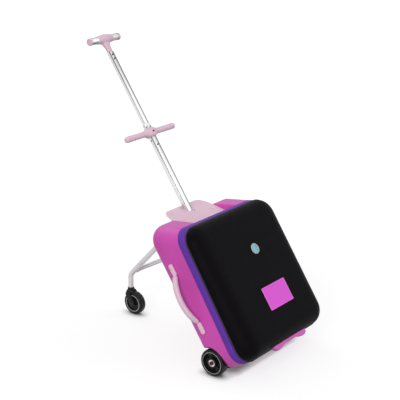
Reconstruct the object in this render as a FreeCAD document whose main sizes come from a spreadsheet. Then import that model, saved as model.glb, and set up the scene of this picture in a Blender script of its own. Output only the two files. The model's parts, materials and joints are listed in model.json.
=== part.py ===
"""Ride-on suitcase: a leaning hard-backed case on two wheels and a folding caster leg.

Bench frame of the case: X to the right, Y backwards, Z up along the case, origin on the rear axle.
The mouth frame is the bench frame turned about X by the taper of the case's open front.
"""
import FreeCAD, Part
import math
import os
import re
import Sketcher
from FreeCAD import Placement, Rotation, Vector

# Driving dimensions, millimetres and degrees
SIZES = {
    # stance
    "lean_angle": 34.3, "taper_angle": 2.2,
    # rear shell
    "case_width": 335, "case_wall": 3, "case_drop": 32, "back_reach": 10, "back_edge_radius": 26,
    "corner_radius": 42, "mouth_reach": 67, "mouth_height": 321, "ear_rise": 27, "shoulder_reach": 18,
    # seat dish between the ears
    "tower_rise": 48, "tower_half": 52, "ramp_reach": 40, "ramp_drop": 5, "dish_reach": 56, "dish_drop": 12,
    "dish_sag": 3, "seat_half_back": 74, "seat_half_front": 86, "seat_thickness": 5,
    "seat_corner_radius": 14, "seat_overhang": 3, "seat_screw_radius": 3, "seat_screw_head": 2,
    # cloth gusset, zip and front cover
    "gusset_depth": 20, "gusset_thickness": 3, "cloth_inset": 0.8, "zip_drop": 8, "chain_depth": 2.4,
    "chain_thickness": 3.2,
    "slider_length": 13, "slider_width": 8, "slider_height": 2.6, "slider_drop": 62, "puller_length": 26,
    "puller_width": 7, "puller_thickness": 1.6, "puller_pin_radius": 1, "hinge_strip_length": 236,
    "hinge_strip_thickness": 1, "cover_depth": 43, "cover_wall": 3.5, "cover_edge_reach": 44,
    "cover_taper_angle": 2.2, "cover_corner_radius": 8,
    "piping_radius": 1.6, "label_width": 94, "label_height": 58, "label_thickness": 1.2, "label_rise": 81,
    "label_shift": 12, "label_corner_radius": 2, "badge_radius": 12.5, "badge_thickness": 2,
    "badge_rise": 203, "badge_shift": 12,
    # front foot under the cover
    "foot_span": 136, "foot_lobe_radius": 15, "foot_depth": 14, "foot_reach": 108, "foot_drop": 41,
    "foot_arch": 6, "foot_shift": 12,
    # rear wheels
    "wheel_radius": 34, "wheel_width": 24, "wheel_face": 163, "rim_radius": 27.5, "rim_depth": 2.2,
    "web_thickness": 9, "barrel_radius": 13, "bearing_radius": 11, "bearing_width": 7, "axle_radius": 4,
    "axle_head_radius": 4.6, "axle_head_height": 3, "arch_gap": 6, "arch_wall": 2.2, "cheek_thickness": 4,
    "boss_radius": 9, "spoke_window_radius": 3.9, "spoke_count": 6, "nut_radius": 6.5, "nut_height": 5,
    # telescopic pole
    "tube_width": 20, "tube_depth": 13, "tube_wall": 1.2, "tube_corner": 4, "slide_gap": 0.3,
    "pole_reach": 4, "sleeve_bottom": 84, "sleeve_wall": 1.6, "lower_tuck": 87, "lower_top": 593,
    "upper_overlap": 60, "tee_height": 842, "tee_half": 55, "tee_radius": 9, "tee_tube_wall": 1.2,
    "tee_cap_length": 6, "hub_half": 13, "hub_radius": 13, "hub_flare": 14,
    "neck_height": 24, "plug_length": 26,
    "button_radius": 5, "button_stand": 2, "button_travel": 2, "rivet_radius": 2, "rivet_drop": 22,
    "bar_height": 576, "bar_half": 94, "bar_radius": 8, "bar_collar_width": 32, "bar_collar_depth": 26,
    "bar_collar_height": 26, "bar_collar_radius": 7, "bar_flare_half": 30,
    "bush_height": 18, "ring_height": 6, "ring_wall": 2.4,
    "collar_height": 1, "collar_wall": 3,
    # side carry handle
    "handle_high": 238, "handle_low": 86, "handle_reach": 28, "handle_bow": 22, "handle_radius": 6.5,
    "handle_foot_length": 30, "handle_foot_width": 13, "handle_foot_height": 6, "handle_screw_radius": 3,
    # folding caster leg
    "arm_hinge_drop": 25, "arm_hinge_stand": 18, "arm_run": 179.9, "stem_length": 42.2, "arm_radius": 7,
    "arm_bend_radius": 26, "arm_wall": 1.6, "pivot_radius": 3.5, "cheek_gap": 0.5, "bracket_cheek": 3,
    "bracket_height": 34, "bracket_plate": 3, "arm_eye_length": 20,
    "brace_pin_back": 15, "brace_foot_drop": 75, "brace_foot_stand": 31, "brace_radius": 6,
    "brace_offset": 17.5, "shoe_radius": 3.5, "shoe_length": 9,
    "rail_below": 5, "rail_above": 76, "rail_wall": 2.4, "rail_flange": 12,
    # caster
    "caster_radius": 31, "caster_width": 19, "caster_trail": 13, "caster_rim_radius": 23,
    "caster_axle_radius": 3, "crown_thickness": 3.5, "crown_gap": 1.5, "fork_cheek": 3.5, "fork_gap": 1.2,
    "fork_nose_radius": 9, "stem_collar_radius": 10.5, "stem_collar_height": 6, "stem_bolt_radius": 4,
    # bay for the stowed caster
    "bay_half": 52, "bay_depth": 18, "bay_height": 78,
    # small shared clearances
    "seat_gap": 0.2, "run_gap": 0.05, "part_gap": 0.3, "overrun": 20,
}

doc = FreeCAD.newDocument("ride_on_suitcase")
sheet = doc.addObject("Spreadsheet::Sheet", "sizes")
for row, (alias, number) in enumerate(SIZES.items(), 1):
    sheet.set(f"A{row}", alias)
    sheet.set(f"B{row}", str(number))
    sheet.setAlias(f"B{row}", alias)
doc.recompute()


class Sheet:
    """Reads the driving dimensions back from the spreadsheet by name."""

    def __getattr__(self, name):
        return float(sheet.get(name))


S = Sheet()
X_AXIS = Vector(1, 0, 0)
Y_AXIS = Vector(0, 1, 0)
Z_AXIS = Vector(0, 0, 1)
SIDES = {"left": -1, "right": 1}
parts = []


def bound(expression):
    """Writes a dimension formula so that its names point at the spreadsheet."""
    def point(match):
        return "sizes." + match.group() if match.group() in SIZES else match.group()
    return re.sub(r"[a-z_]+", point, expression)


# Frames: the whole case leans back on its axle, the mouth is turned inside the case
GROUND_LIFT = Vector(0, 0, S.wheel_radius)
LEAN = Placement(GROUND_LIFT, Rotation(X_AXIS, -S.lean_angle))
MOUTH = LEAN.multiply(Placement(Vector(), Rotation(X_AXIS, S.taper_angle)))


def finish(item, label, frame=LEAN):
    """Names a finished piece and sets it in its frame."""
    item.Label = label
    item.Placement = frame.multiply(item.Placement)
    parts.append(item)
    return item


def feature(label, shape, frame=LEAN):
    """A piece whose shape is worked out below from the sheet."""
    item = doc.addObject("Part::Feature", label)
    item.Shape = shape
    return finish(item, label, frame)


def body_sketch(body, role):
    """An empty sketch on one of the body's own origin planes."""
    plane = next(item for item in body.Origin.OriginFeatures if item.Role == role)
    sketch = body.newObject("Sketcher::SketchObject", body.Name + "_sketch")
    sketch.AttachmentSupport = [(plane, "")]
    sketch.MapMode = "FlatFace"
    return sketch


def outline(sketch, points):
    """Closes a polygon through points given as pairs of dimension formulas."""
    formulas = [(bound(across), bound(along)) for across, along in points]
    places = [Vector(*[float(sheet.evalExpression(text)) for text in pair], 0) for pair in formulas]
    count = len(places)
    for index in range(count):
        sketch.addGeometry(Part.LineSegment(places[index], places[(index + 1) % count]), False)
    for index, pair in enumerate(formulas):
        sketch.addConstraint(Sketcher.Constraint("Coincident", index, 2, (index + 1) % count, 1))
        for kind, text, axis in zip(("DistanceX", "DistanceY"), pair, (-2, -1)):
            if text == "0":
                sketch.addConstraint(Sketcher.Constraint("PointOnObject", index, 1, axis))
                continue
            value = float(sheet.evalExpression(text))
            number = sketch.addConstraint(Sketcher.Constraint(kind, -1, 1, index, 1, value))
            sketch.setExpression(f"Constraints[{number}]", text)


def circle(sketch, radius, across="0", along="0"):
    """A bound circle in a sketch."""
    centre = [float(sheet.evalExpression(bound(text))) for text in (across, along)]
    size = float(sheet.evalExpression(bound(radius)))
    index = sketch.addGeometry(Part.Circle(Vector(*centre, 0), Z_AXIS, size), False)
    number = sketch.addConstraint(Sketcher.Constraint("Radius", index, size))
    sketch.setExpression(f"Constraints[{number}]", bound(radius))
    for kind, text, axis in zip(("DistanceX", "DistanceY"), (across, along), (-2, -1)):
        if text == "0":
            sketch.addConstraint(Sketcher.Constraint("PointOnObject", index, 3, axis))
            continue
        value = float(sheet.evalExpression(bound(text)))
        number = sketch.addConstraint(Sketcher.Constraint(kind, -1, 1, index, 3, value))
        sketch.setExpression(f"Constraints[{number}]", bound(text))


def turned_body(name, points):
    """A body turned about X from a half section of (along X, radius) formulas."""
    body = doc.addObject("PartDesign::Body", name)
    sketch = body_sketch(body, "XZ_Plane")
    outline(sketch, points)
    turn = body.newObject("PartDesign::Revolution", name + "_turn")
    turn.Profile = sketch
    turn.ReferenceAxis = (sketch, ["H_Axis"])
    doc.recompute()
    return body


def padded_body(name, role, points, length, both_ways=True):
    """A body padded from a polygon of formulas on one of its origin planes."""
    body = doc.addObject("PartDesign::Body", name)
    sketch = body_sketch(body, role)
    outline(sketch, points)
    pad = body.newObject("PartDesign::Pad", name + "_pad")
    pad.Profile = sketch
    pad.setExpression("Length", bound(length))
    if both_ways:
        pad.SideType = "Symmetric"
    doc.recompute()
    return body


def round_edges(body, radius, chosen):
    """Rounds the edges of the body's tip that the test picks."""
    tip = body.Tip
    names = [f"Edge{n}" for n, edge in enumerate(tip.Shape.Edges, 1) if chosen(edge)]
    rounding = body.newObject("PartDesign::Fillet", body.Name + "_round")
    rounding.Base = (tip, names)
    rounding.setExpression("Radius", bound(radius))
    doc.recompute()
    return body


def parallel(edge, axis):
    """Whether a straight edge runs along an axis."""
    if edge.Curve.TypeId != "Part::GeomLine":
        return False
    return abs(edge.Curve.Direction.dot(axis)) > math.cos(math.radians(1))


def rod(radius, start, end):
    """A plain cylinder between two points."""
    return Part.makeCylinder(radius, (end - start).Length, start, end - start)


def cross_rod(radius, centre, half, axis=X_AXIS):
    """A plain cylinder reaching both ways from its middle."""
    return rod(radius, centre - axis * half, centre + axis * half)


def edges_along(shape, axis):
    """The straight edges of a shape that run along an axis."""
    return [edge for edge in shape.Edges if parallel(edge, axis)]


def ring_face(radius, start_edge):
    """A round section standing square on the start of an edge."""
    spot = start_edge.valueAt(start_edge.FirstParameter)
    return Part.Wire(Part.makeCircle(radius, spot, start_edge.tangentAt(start_edge.FirstParameter)))


def block(low, high):
    """A box between two opposite corners."""
    return Part.makeBox(high.x - low.x, high.y - low.y, high.z - low.z, low)


def rounded_wire(half, low, high, radius, depth):
    """A rounded rectangle across X and Z at one depth along Y."""
    corners = [(half - radius, low + radius, -90), (half - radius, high - radius, 0),
               (radius - half, high - radius, 90), (radius - half, low + radius, 180)]
    arcs = []
    for x, z, first in corners:
        on_arc = []
        for turn_share in (0, 0.5, 1):
            angle = math.radians(first + 90 * turn_share)
            on_arc.append(Vector(x + radius * math.cos(angle), depth, z + radius * math.sin(angle)))
        arcs.append(Part.Arc(*on_arc).toShape())
    edges = []
    for index, arc in enumerate(arcs):
        edges.append(arc)
        following = arcs[(index + 1) % len(arcs)]
        edges.append(Part.makeLine(arc.Vertexes[-1].Point, following.Vertexes[0].Point))
    return Part.Wire(edges)


def mouth_wire(inset, reach):
    """The case's front outline, drawn in by an inset, in the mouth frame."""
    return rounded_wire(S.case_width / 2 - inset, inset - S.case_drop, S.mouth_height - inset,
                        S.corner_radius - inset, -reach)


def zip_wire(inset, reach):
    """The zip's outline, lower than the mouth at its top, drawn in by an inset."""
    return rounded_wire(S.case_width / 2 - inset, inset - S.case_drop, ZIP_HEIGHT - inset,
                        S.corner_radius - inset, -reach)


def zip_ring(inset, thickness, start, end):
    """A band along the zip between two reaches, open at both ends."""
    outer = Part.Face(zip_wire(inset, start)).extrude(Vector(0, start - end, 0))
    inner = Part.Face(zip_wire(inset + thickness, start)).extrude(Vector(0, start - end, 0))
    return outer.cut(inner)


def side_prism(points, half):
    """Extrudes a side view of (reach forward, height) points, or arcs of three, across the case."""
    edges = []
    for first, last in zip(points, points[1:] + points[:1]):
        start = Vector(-half, -first[0], first[1])
        end = Vector(-half, -last[0], last[1])
        if len(first) == 3:
            middle = Vector(-half, -first[2][0], first[2][1])
            edges.append(Part.Arc(start, middle, end).toShape())
        else:
            edges.append(Part.makeLine(start, end))
    return Part.Face(Part.Wire(edges)).extrude(Vector(2 * half, 0, 0))


# Heights that follow the mouth, so that the back, the seat and the leg stay together
ZIP_HEIGHT = S.mouth_height - S.zip_drop
EAR_HEIGHT = S.mouth_height + S.ear_rise
TOWER_HEIGHT = S.mouth_height + S.tower_rise
RAMP_HEIGHT = S.mouth_height - S.ramp_drop
DISH_HEIGHT = S.mouth_height - S.dish_drop
LOWER_BOTTOM = TOWER_HEIGHT - S.lower_tuck
HINGE_HEIGHT = TOWER_HEIGHT - S.arm_hinge_drop
BRACE_FOOT_HEIGHT = HINGE_HEIGHT - S.brace_foot_drop
RAIL_LOW = BRACE_FOOT_HEIGHT - S.rail_below
RAIL_HIGH = BRACE_FOOT_HEIGHT + S.rail_above

# Mouth top edge seen in the bench frame, where the seat dish ends
TAPER = math.radians(S.taper_angle)
MOUTH_TOP = (S.mouth_reach * math.cos(TAPER) + S.mouth_height * math.sin(TAPER),
             S.mouth_height * math.cos(TAPER) - S.mouth_reach * math.sin(TAPER))
RAMP_RISE = (TOWER_HEIGHT - RAMP_HEIGHT) / (S.ramp_reach + S.back_reach)
RAMP_STRETCH = math.hypot(1, RAMP_RISE)
DISH_MIDDLE = ((S.ramp_reach + S.dish_reach) / 2 - S.dish_sag / 2,
               (RAMP_HEIGHT + DISH_HEIGHT) / 2 - S.dish_sag)


def ramp_level(reach):
    """Height of the seat ramp at a distance in front of the axle."""
    return RAMP_HEIGHT + RAMP_RISE * (S.ramp_reach - reach)


def dish_floor(lift):
    """Side view of the seat dish from behind the tower to the mouth, lifted by a height."""
    behind = -S.back_reach - S.overrun
    return [(behind, ramp_level(behind) + lift),
            (S.ramp_reach, RAMP_HEIGHT + lift, (DISH_MIDDLE[0], DISH_MIDDLE[1] + lift)),
            (S.dish_reach, DISH_HEIGHT + lift), (MOUTH_TOP[0], MOUTH_TOP[1] + lift)]


def dish_plan(grow, back, front, low, high):
    """Plan of the dish, narrow at the back and wide at the front, as an upright prism."""
    half_back = S.seat_half_back + grow
    half_front = S.seat_half_front + grow
    corners = [Vector(-half_back, back, low), Vector(half_back, back, low),
               Vector(half_front, -front, low), Vector(-half_front, -front, low)]
    return Part.Face(Part.makePolygon(corners + corners[:1])).extrude(Vector(0, 0, high - low))


def dish_tool(grow, lift):
    """The space above the seat dish, cut out between the ears."""
    ceiling = TOWER_HEIGHT + S.overrun * 3
    front = MOUTH_TOP[0] + S.overrun
    points = dish_floor(lift)
    points[-1] = (front, MOUTH_TOP[1] + lift)
    points += [(front, ceiling), (-S.back_reach - S.overrun, ceiling)]
    across = side_prism(points, S.seat_half_front + grow + S.overrun)
    plan = dish_plan(grow, S.back_reach + S.overrun, MOUTH_TOP[0] + S.overrun, 0, ceiling)
    return across.common(plan)


def tower(inset):
    """The raised block behind the seat that the pole comes out of."""
    foot = EAR_HEIGHT - S.back_edge_radius * 2
    back = inset - S.back_reach
    drop = inset * RAMP_STRETCH
    points = [(back, foot), (back, ramp_level(back) - drop), (S.ramp_reach, RAMP_HEIGHT - drop),
              (S.ramp_reach, foot)]
    return side_prism(points, S.tower_half - inset)


def mouth_run(inset):
    """A straight run forwards from the mouth's outline, which opens the case's front."""
    run = Part.Face(mouth_wire(inset, S.mouth_reach)).extrude(Vector(0, -S.overrun, 0))
    run.rotate(Vector(), X_AXIS, S.taper_angle)
    return run


def case_form(inset):
    """The case's form drawn in by an inset: a soft-backed box, a tapered front and the tower."""
    half = S.case_width / 2 - inset
    low = inset - S.case_drop
    radius = S.corner_radius - inset
    back = S.back_reach - inset
    rear = rounded_wire(half, low, EAR_HEIGHT - inset, radius, back)
    box = Part.Face(rear).extrude(Vector(0, -S.shoulder_reach - back, 0))
    rim = [edge for edge in box.Edges if all(abs(v.Point.y - back) < S.run_gap for v in edge.Vertexes)]
    box = box.makeFillet(S.back_edge_radius - inset, rim)
    shoulder = rounded_wire(half, low, EAR_HEIGHT - inset, radius, -S.shoulder_reach)
    mouth = mouth_wire(inset, S.mouth_reach)
    mouth.rotate(Vector(), X_AXIS, S.taper_angle)
    return box.fuse([Part.makeLoft([shoulder, mouth], True, True), tower(inset)])


ARCH_RADIUS = S.wheel_radius + S.arch_gap + S.arch_wall
WHEEL_INNER = S.wheel_face - S.wheel_width
POCKET_FACE = WHEEL_INNER - S.boss_radius * 2


def hollows(grow):
    """Wheel pockets and caster bay, as solids to take out of the case."""
    far = S.case_width / 2 + S.overrun
    reach = ARCH_RADIUS + S.part_gap + grow
    pockets = [rod(reach, X_AXIS * side * (POCKET_FACE - grow), X_AXIS * side * far) for side in (-1, 1)]
    bay = block(Vector(-S.bay_half - grow, S.back_reach - S.bay_depth - grow, -S.case_drop - S.overrun),
                Vector(S.bay_half + grow, S.back_reach + S.overrun, S.bay_height + grow))
    return pockets + [bay]


def tube_bar(width, depth, radius, low, high):
    """An upright bar of rounded rectangular section standing on the pole's line."""
    corner = Vector(-width / 2, -S.pole_reach - depth / 2, low)
    bar = block(corner, corner + Vector(width, depth, high - low))
    return bar.makeFillet(radius, edges_along(bar, Z_AXIS))


SLEEVE_WIDTH = S.tube_width + 2 * (S.slide_gap + S.sleeve_wall)
SLEEVE_DEPTH = S.tube_depth + 2 * (S.slide_gap + S.sleeve_wall)
UPPER_WIDTH = S.tube_width - 2 * (S.tube_wall + S.slide_gap)
UPPER_DEPTH = S.tube_depth - 2 * (S.tube_wall + S.slide_gap)
UPPER_CORNER = S.tube_corner - S.tube_wall - S.slide_gap


def pole_bar(grow, low, high):
    """A bar of the lower tube's section grown all round."""
    return tube_bar(S.tube_width + 2 * grow, S.tube_depth + 2 * grow, S.tube_corner + grow, low, high)


# Rear shell: outer form less the dish, pockets and bay, hollowed through its mouth
ramp_wall = S.case_wall * RAMP_STRETCH
outer_form = case_form(0).cut(dish_tool(0, 0)).cut(hollows(0))
inner_form = case_form(S.case_wall).fuse(mouth_run(S.case_wall))
inner_form = inner_form.cut(dish_tool(S.case_wall, -ramp_wall)).cut(hollows(S.case_wall))
sleeve_grow = S.slide_gap + S.sleeve_wall
sleeve_hole = pole_bar(sleeve_grow + S.part_gap, DISH_HEIGHT, TOWER_HEIGHT + S.overrun)
half_width = X_AXIS * S.case_width / 2
axle_holes = rod(S.axle_radius + S.run_gap, -half_width, half_width)
feature("rear_shell", outer_form.cut(inner_form).cut([sleeve_hole, axle_holes]).removeSplitter())

# Seat plate lying on the ramp, with its screws and the collar round the pole
plate_lift = S.seat_thickness * RAMP_STRETCH


def seat_layer(low, high):
    """A layer over the seat's floor between two lifts, ending a little past the dish's lowest line."""
    front_rise = (MOUTH_TOP[1] - DISH_HEIGHT) / (MOUTH_TOP[0] - S.dish_reach)
    front = S.dish_reach + S.seat_overhang
    under = dish_floor(low)
    over = dish_floor(high)
    under[-1] = (front, under[-2][1] + front_rise * S.seat_overhang)
    over[-1] = (front, over[-2][1] + front_rise * S.seat_overhang)
    returning = [over[3], (*over[2], over[1][2]), over[1][:2], over[0]]
    return side_prism(under + returning, S.case_width / 2)


plan = dish_plan(-S.part_gap * 3, S.back_reach + S.overrun, MOUTH_TOP[0] + S.overrun, 0,
                 TOWER_HEIGHT + S.overrun * 2)
plan_top = TOWER_HEIGHT + S.overrun * 2
plan = plan.common(block(Vector(-S.case_width, -S.dish_reach - S.seat_overhang, 0),
                         Vector(S.case_width, S.back_reach + S.seat_overhang, plan_top)))
plan = plan.makeFillet(S.seat_corner_radius, edges_along(plan, Z_AXIS))
collar_grow = S.slide_gap + S.collar_wall
plate_hole = pole_bar(collar_grow + S.part_gap, 0, TOWER_HEIGHT + S.overrun * 2)
feature("seat_plate", seat_layer(S.seat_gap, plate_lift).common(plan).cut(plate_hole))
collar = pole_bar(collar_grow, 0, TOWER_HEIGHT + S.overrun).cut(pole_bar(S.slide_gap, 0, S.lower_top))
feature("pole_collar", collar.common(seat_layer(S.seat_gap, plate_lift + S.collar_height)))
ramp_normal = Vector(0, -RAMP_RISE, 1).normalize()
screws = []
for side in (-1, 1):
    for reach in (0, S.ramp_reach * 2 / 3):
        spot = Vector(side * S.seat_half_back * 0.75, -reach, ramp_level(reach) + plate_lift)
        spot += ramp_normal * S.seat_gap
        screws.append(rod(S.seat_screw_radius, spot, spot + ramp_normal * S.seat_screw_head))
feature("seat_screws", Part.makeCompound(screws))

# Pole sleeve standing inside the back wall, with its two clamps
sleeve_top = ramp_level(S.pole_reach + SLEEVE_DEPTH / 2)
sleeve = pole_bar(sleeve_grow, S.sleeve_bottom, sleeve_top)
sleeve = sleeve.cut(pole_bar(S.slide_gap, S.sleeve_bottom - S.overrun, TOWER_HEIGHT + S.overrun))
feature("pole_sleeve", sleeve)
inner_back = S.back_reach - S.case_wall
clamps = []
for height in (S.sleeve_bottom + S.bush_height, RAMP_HEIGHT - S.bush_height * 2):
    low = Vector(-SLEEVE_WIDTH, -S.pole_reach - SLEEVE_DEPTH / 2 - S.bracket_plate, height)
    high = Vector(SLEEVE_WIDTH, inner_back - S.seat_gap, height + S.bush_height)
    hole = pole_bar(sleeve_grow + S.seat_gap, height - S.overrun, height + S.bush_height + S.overrun)
    clamps.append(block(low, high).cut(hole))
feature("sleeve_clamps", Part.makeCompound(clamps))

# Lower tube with its guide bush, top ring, cross rivet and the child's handlebar
lower = pole_bar(0, LOWER_BOTTOM, S.lower_top)
lower = lower.cut(pole_bar(-S.tube_wall, LOWER_BOTTOM - S.overrun, S.lower_top + S.overrun))
rivet_height = S.bar_height - S.bar_collar_height / 2 - S.rivet_drop
rivet_front = Vector(0, -S.pole_reach - S.tube_depth / 2, rivet_height)
rivet_hole = cross_rod(S.rivet_radius + S.run_gap, rivet_front, S.tube_wall * 2, Y_AXIS)
feature("lower_tube", lower.cut(rivet_hole))
guide = pole_bar(0, LOWER_BOTTOM - S.bush_height, LOWER_BOTTOM - S.seat_gap)
guide = guide.cut(pole_bar(-S.tube_wall * 2, 0, LOWER_BOTTOM + S.overrun))
feature("lower_bush", guide)
ring_low = S.lower_top + S.seat_gap
ring = pole_bar(S.run_gap, ring_low, ring_low + S.ring_height)
ring = ring.cut(pole_bar(-S.tube_wall, 0, S.tee_height))
feature("lower_ring", ring)
stud = cross_rod(S.rivet_radius, rivet_front, S.tube_wall, Y_AXIS)
feature("stop_rivet", stud)
bar = turned_body("child_bar_turning", [
    ("-bar_half", "0"), ("-bar_half", "bar_radius*0.55"), ("-bar_half + bar_radius*0.22", "bar_radius*0.86"),
    ("-bar_half + bar_radius*0.6", "bar_radius"), ("-bar_flare_half", "bar_radius"),
    ("-bar_collar_width/2", "bar_radius*1.3"), ("bar_collar_width/2", "bar_radius*1.3"),
    ("bar_flare_half", "bar_radius"),
    ("bar_half - bar_radius*0.6", "bar_radius"), ("bar_half - bar_radius*0.22", "bar_radius*0.86"),
    ("bar_half", "bar_radius*0.55"), ("bar_half", "0")])
bar_place = Vector(0, -S.pole_reach, S.bar_height)
bar_shape = bar.Shape.copy()
bar_shape.translate(bar_place)
collar_half = S.bar_collar_height / 2
bar_collar = tube_bar(S.bar_collar_width, S.bar_collar_depth, S.bar_collar_radius,
                      S.bar_height - collar_half,
                      S.bar_height + collar_half)
bar_collar = bar_collar.makeFillet(S.bar_collar_radius / 2, [
    edge for edge in bar_collar.Edges if abs(edge.CenterOfMass.z - S.bar_height) > collar_half - S.run_gap])
bar_shape = bar_shape.fuse(bar_collar).cut(pole_bar(S.run_gap, 0, S.tee_height)).removeSplitter()
feature("child_handlebar", bar_shape)
bar_face = Vector(0, -S.pole_reach - S.bar_collar_depth / 2 - S.seat_gap, S.bar_height)
feature("handlebar_screw", rod(S.rivet_radius, bar_face, bar_face - Y_AXIS * S.seat_screw_head))

# Upper tube with its bush, the T-shaped pull grip plugged into it, caps, rivets and release button
upper_low = S.lower_top - S.upper_overlap
upper_top = S.tee_height - S.hub_radius - S.neck_height


def upper_bar(grow, low, high):
    """A bar of the upper tube's section grown all round."""
    return tube_bar(UPPER_WIDTH + 2 * grow, UPPER_DEPTH + 2 * grow, UPPER_CORNER + grow, low, high)


def upper_outline(grow, height):
    """The upper tube's outline grown all round, as a level wire."""
    low_face = min(upper_bar(grow, height, height + S.overrun).Faces, key=lambda face: face.CenterOfMass.z)
    return low_face.OuterWire


upper = upper_bar(0, upper_low, upper_top).cut(upper_bar(-S.tube_wall, upper_low - S.overrun, S.tee_height))
feature("upper_tube", upper)
upper_foot = upper_bar(0, upper_low - S.bush_height, upper_low - S.seat_gap)
feature("upper_bush", upper_foot.cut(upper_bar(-S.tube_wall, 0, upper_low + S.overrun)))
tee_centre = Vector(0, -S.pole_reach, S.tee_height)
hub_barrel = cross_rod(S.hub_radius, tee_centre, S.hub_half)
flares = []
for side in (-1, 1):
    start = tee_centre + X_AXIS * side * S.hub_half
    flare_end = S.tee_radius + S.tee_tube_wall
    flares.append(Part.makeCone(S.hub_radius, flare_end, S.hub_flare, start, X_AXIS * side))
neck_wires = [upper_outline(0, upper_top + S.seat_gap), upper_outline(S.tee_tube_wall, S.tee_height)]
neck = Part.makeLoft(neck_wires, True, True)
plug = upper_bar(-S.tube_wall - S.run_gap, upper_top - S.plug_length, upper_top + S.neck_height)
tee_bore = cross_rod(S.tee_radius + S.run_gap, tee_centre, S.tee_half)
hub_back = S.hub_radius - S.pole_reach
button_tip = Vector(0, hub_back + S.button_stand, S.tee_height)
button_window = rod(S.button_radius + S.run_gap, tee_centre, button_tip)
tee_hub = hub_barrel.fuse(flares + [neck, plug]).cut([tee_bore, button_window])
feature("tee_hub", tee_hub.removeSplitter())
tee_tube = rod(S.tee_radius, tee_centre - X_AXIS * (S.tee_half - S.tee_cap_length),
               tee_centre + X_AXIS * (S.tee_half - S.tee_cap_length))
tee_inside = cross_rod(S.tee_radius - S.tee_tube_wall, tee_centre, S.tee_half)
feature("tee_tube", tee_tube.cut(tee_inside))
for name, side in SIDES.items():
    cap = turned_body(f"tee_cap_{name}", [
        ("seat_gap", "0"), ("seat_gap", "tee_radius*1.04"), ("tee_cap_length*0.55", "tee_radius*1.04"),
        ("tee_cap_length*0.85", "tee_radius*0.86"), ("tee_cap_length", "tee_radius*0.55"),
        ("tee_cap_length", "0")])
    cap_place = tee_centre + X_AXIS * side * (S.tee_half - S.tee_cap_length)
    cap.Placement = Placement(cap_place, Rotation(Z_AXIS, 0 if side > 0 else 180))
    finish(cap, f"tee_cap_{name}")
rivets = []
for drop_share in (0.3, 0.75):
    height = upper_top - S.plug_length * drop_share
    spot = Vector(0, -S.pole_reach - UPPER_DEPTH / 2 - S.seat_gap, height)
    rivets.append(rod(S.rivet_radius, spot, spot - Y_AXIS * S.tube_wall))
feature("neck_rivets", Part.makeCompound(rivets))
button_seat = Vector(0, S.tee_radius - S.pole_reach + S.button_travel + S.part_gap, S.tee_height)
feature("release_button", rod(S.button_radius, button_seat, button_tip))

# Cloth gusset, zip, hinge strip and slider round the mouth
gusset_end = S.mouth_reach + S.gusset_depth
gusset_layers = []
for inset in (S.cloth_inset, S.cloth_inset + S.gusset_thickness):
    gusset_wires = [mouth_wire(inset, S.mouth_reach + S.seat_gap), zip_wire(inset, gusset_end)]
    gusset_layers.append(Part.makeLoft(gusset_wires, True, True))
feature("zip_gusset", gusset_layers[0].cut(gusset_layers[1]), MOUTH)
chain_start = gusset_end + S.seat_gap
chain_end = chain_start + S.chain_depth
chain = zip_ring(S.cloth_inset * 2, S.chain_thickness, chain_start, chain_end)
hinge_half = S.hinge_strip_length / 2
hinge_gap = block(Vector(-hinge_half, -chain_end - S.overrun, -S.case_drop - S.overrun),
                  Vector(hinge_half, S.overrun - chain_start, S.corner_radius - S.case_drop))
feature("zip_chain", chain.cut(hinge_gap), MOUTH)
strip_back = "-mouth_reach - seat_gap"
strip_front = "-mouth_reach - gusset_depth - chain_depth/2"
strip_top = "cloth_inset - case_drop - seat_gap"
strip_low = strip_top + " - hinge_strip_thickness"
strip_corners = [(strip_back, strip_top), (strip_front, strip_top),
                 (strip_front, strip_low), (strip_back, strip_low)]
strip = padded_body("hinge_strip", "YZ_Plane", strip_corners, "hinge_strip_length")
finish(strip, "hinge_strip", MOUTH)
slider_x = S.case_width / 2 - S.cloth_inset + S.part_gap
slider_y = S.slider_width / 2 - chain_end
slider_rise = S.mouth_height - S.slider_drop
slider_low = Vector(slider_x, slider_y - S.slider_width / 2, slider_rise)
slider_high = slider_low + Vector(S.slider_height, S.slider_width, S.slider_length)
slider = block(slider_low, slider_high)
slider = slider.makeFillet(S.slider_width / 4, edges_along(slider, X_AXIS))
eye_radius = S.puller_pin_radius + S.puller_thickness / 2
puller_pin = Vector(slider_high.x + eye_radius + S.seat_gap, slider_y, slider_rise + S.slider_length / 2)
eye_half = S.slider_width / 4 - S.part_gap
lug_outer = S.slider_width / 2 - S.part_gap
for side in (-1, 1):
    across = sorted((side * (eye_half + S.part_gap), side * lug_outer))
    lug_low = Vector(slider_x, slider_y + across[0], puller_pin.z - eye_radius)
    lug_high = Vector(puller_pin.x + eye_radius, slider_y + across[1], puller_pin.z + eye_radius)
    slider = slider.fuse(block(lug_low, lug_high))
slider_pin = cross_rod(S.puller_pin_radius, puller_pin, lug_outer, Y_AXIS)
feature("zip_slider", slider.fuse(slider_pin).removeSplitter(), MOUTH)
half_sheet = X_AXIS * S.puller_thickness / 2
tag_top = puller_pin - Z_AXIS * (eye_radius * 2 + S.part_gap)
tag = block(puller_pin - half_sheet - Y_AXIS * S.puller_width / 2 - Z_AXIS * S.puller_length,
            tag_top + half_sheet + Y_AXIS * S.puller_width / 2)
tag = tag.makeFillet(S.puller_width / 4, edges_along(tag, X_AXIS))
neck_strip = block(tag_top - half_sheet - Y_AXIS * eye_half - Z_AXIS * S.puller_width / 2,
                   puller_pin + half_sheet + Y_AXIS * eye_half)
eye = cross_rod(eye_radius, puller_pin, eye_half, Y_AXIS)
eye_bore = cross_rod(S.puller_pin_radius + S.run_gap, puller_pin, S.slider_width, Y_AXIS)
feature("zip_puller", tag.fuse([neck_strip, eye]).cut(eye_bore).removeSplitter(), MOUTH)

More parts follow.
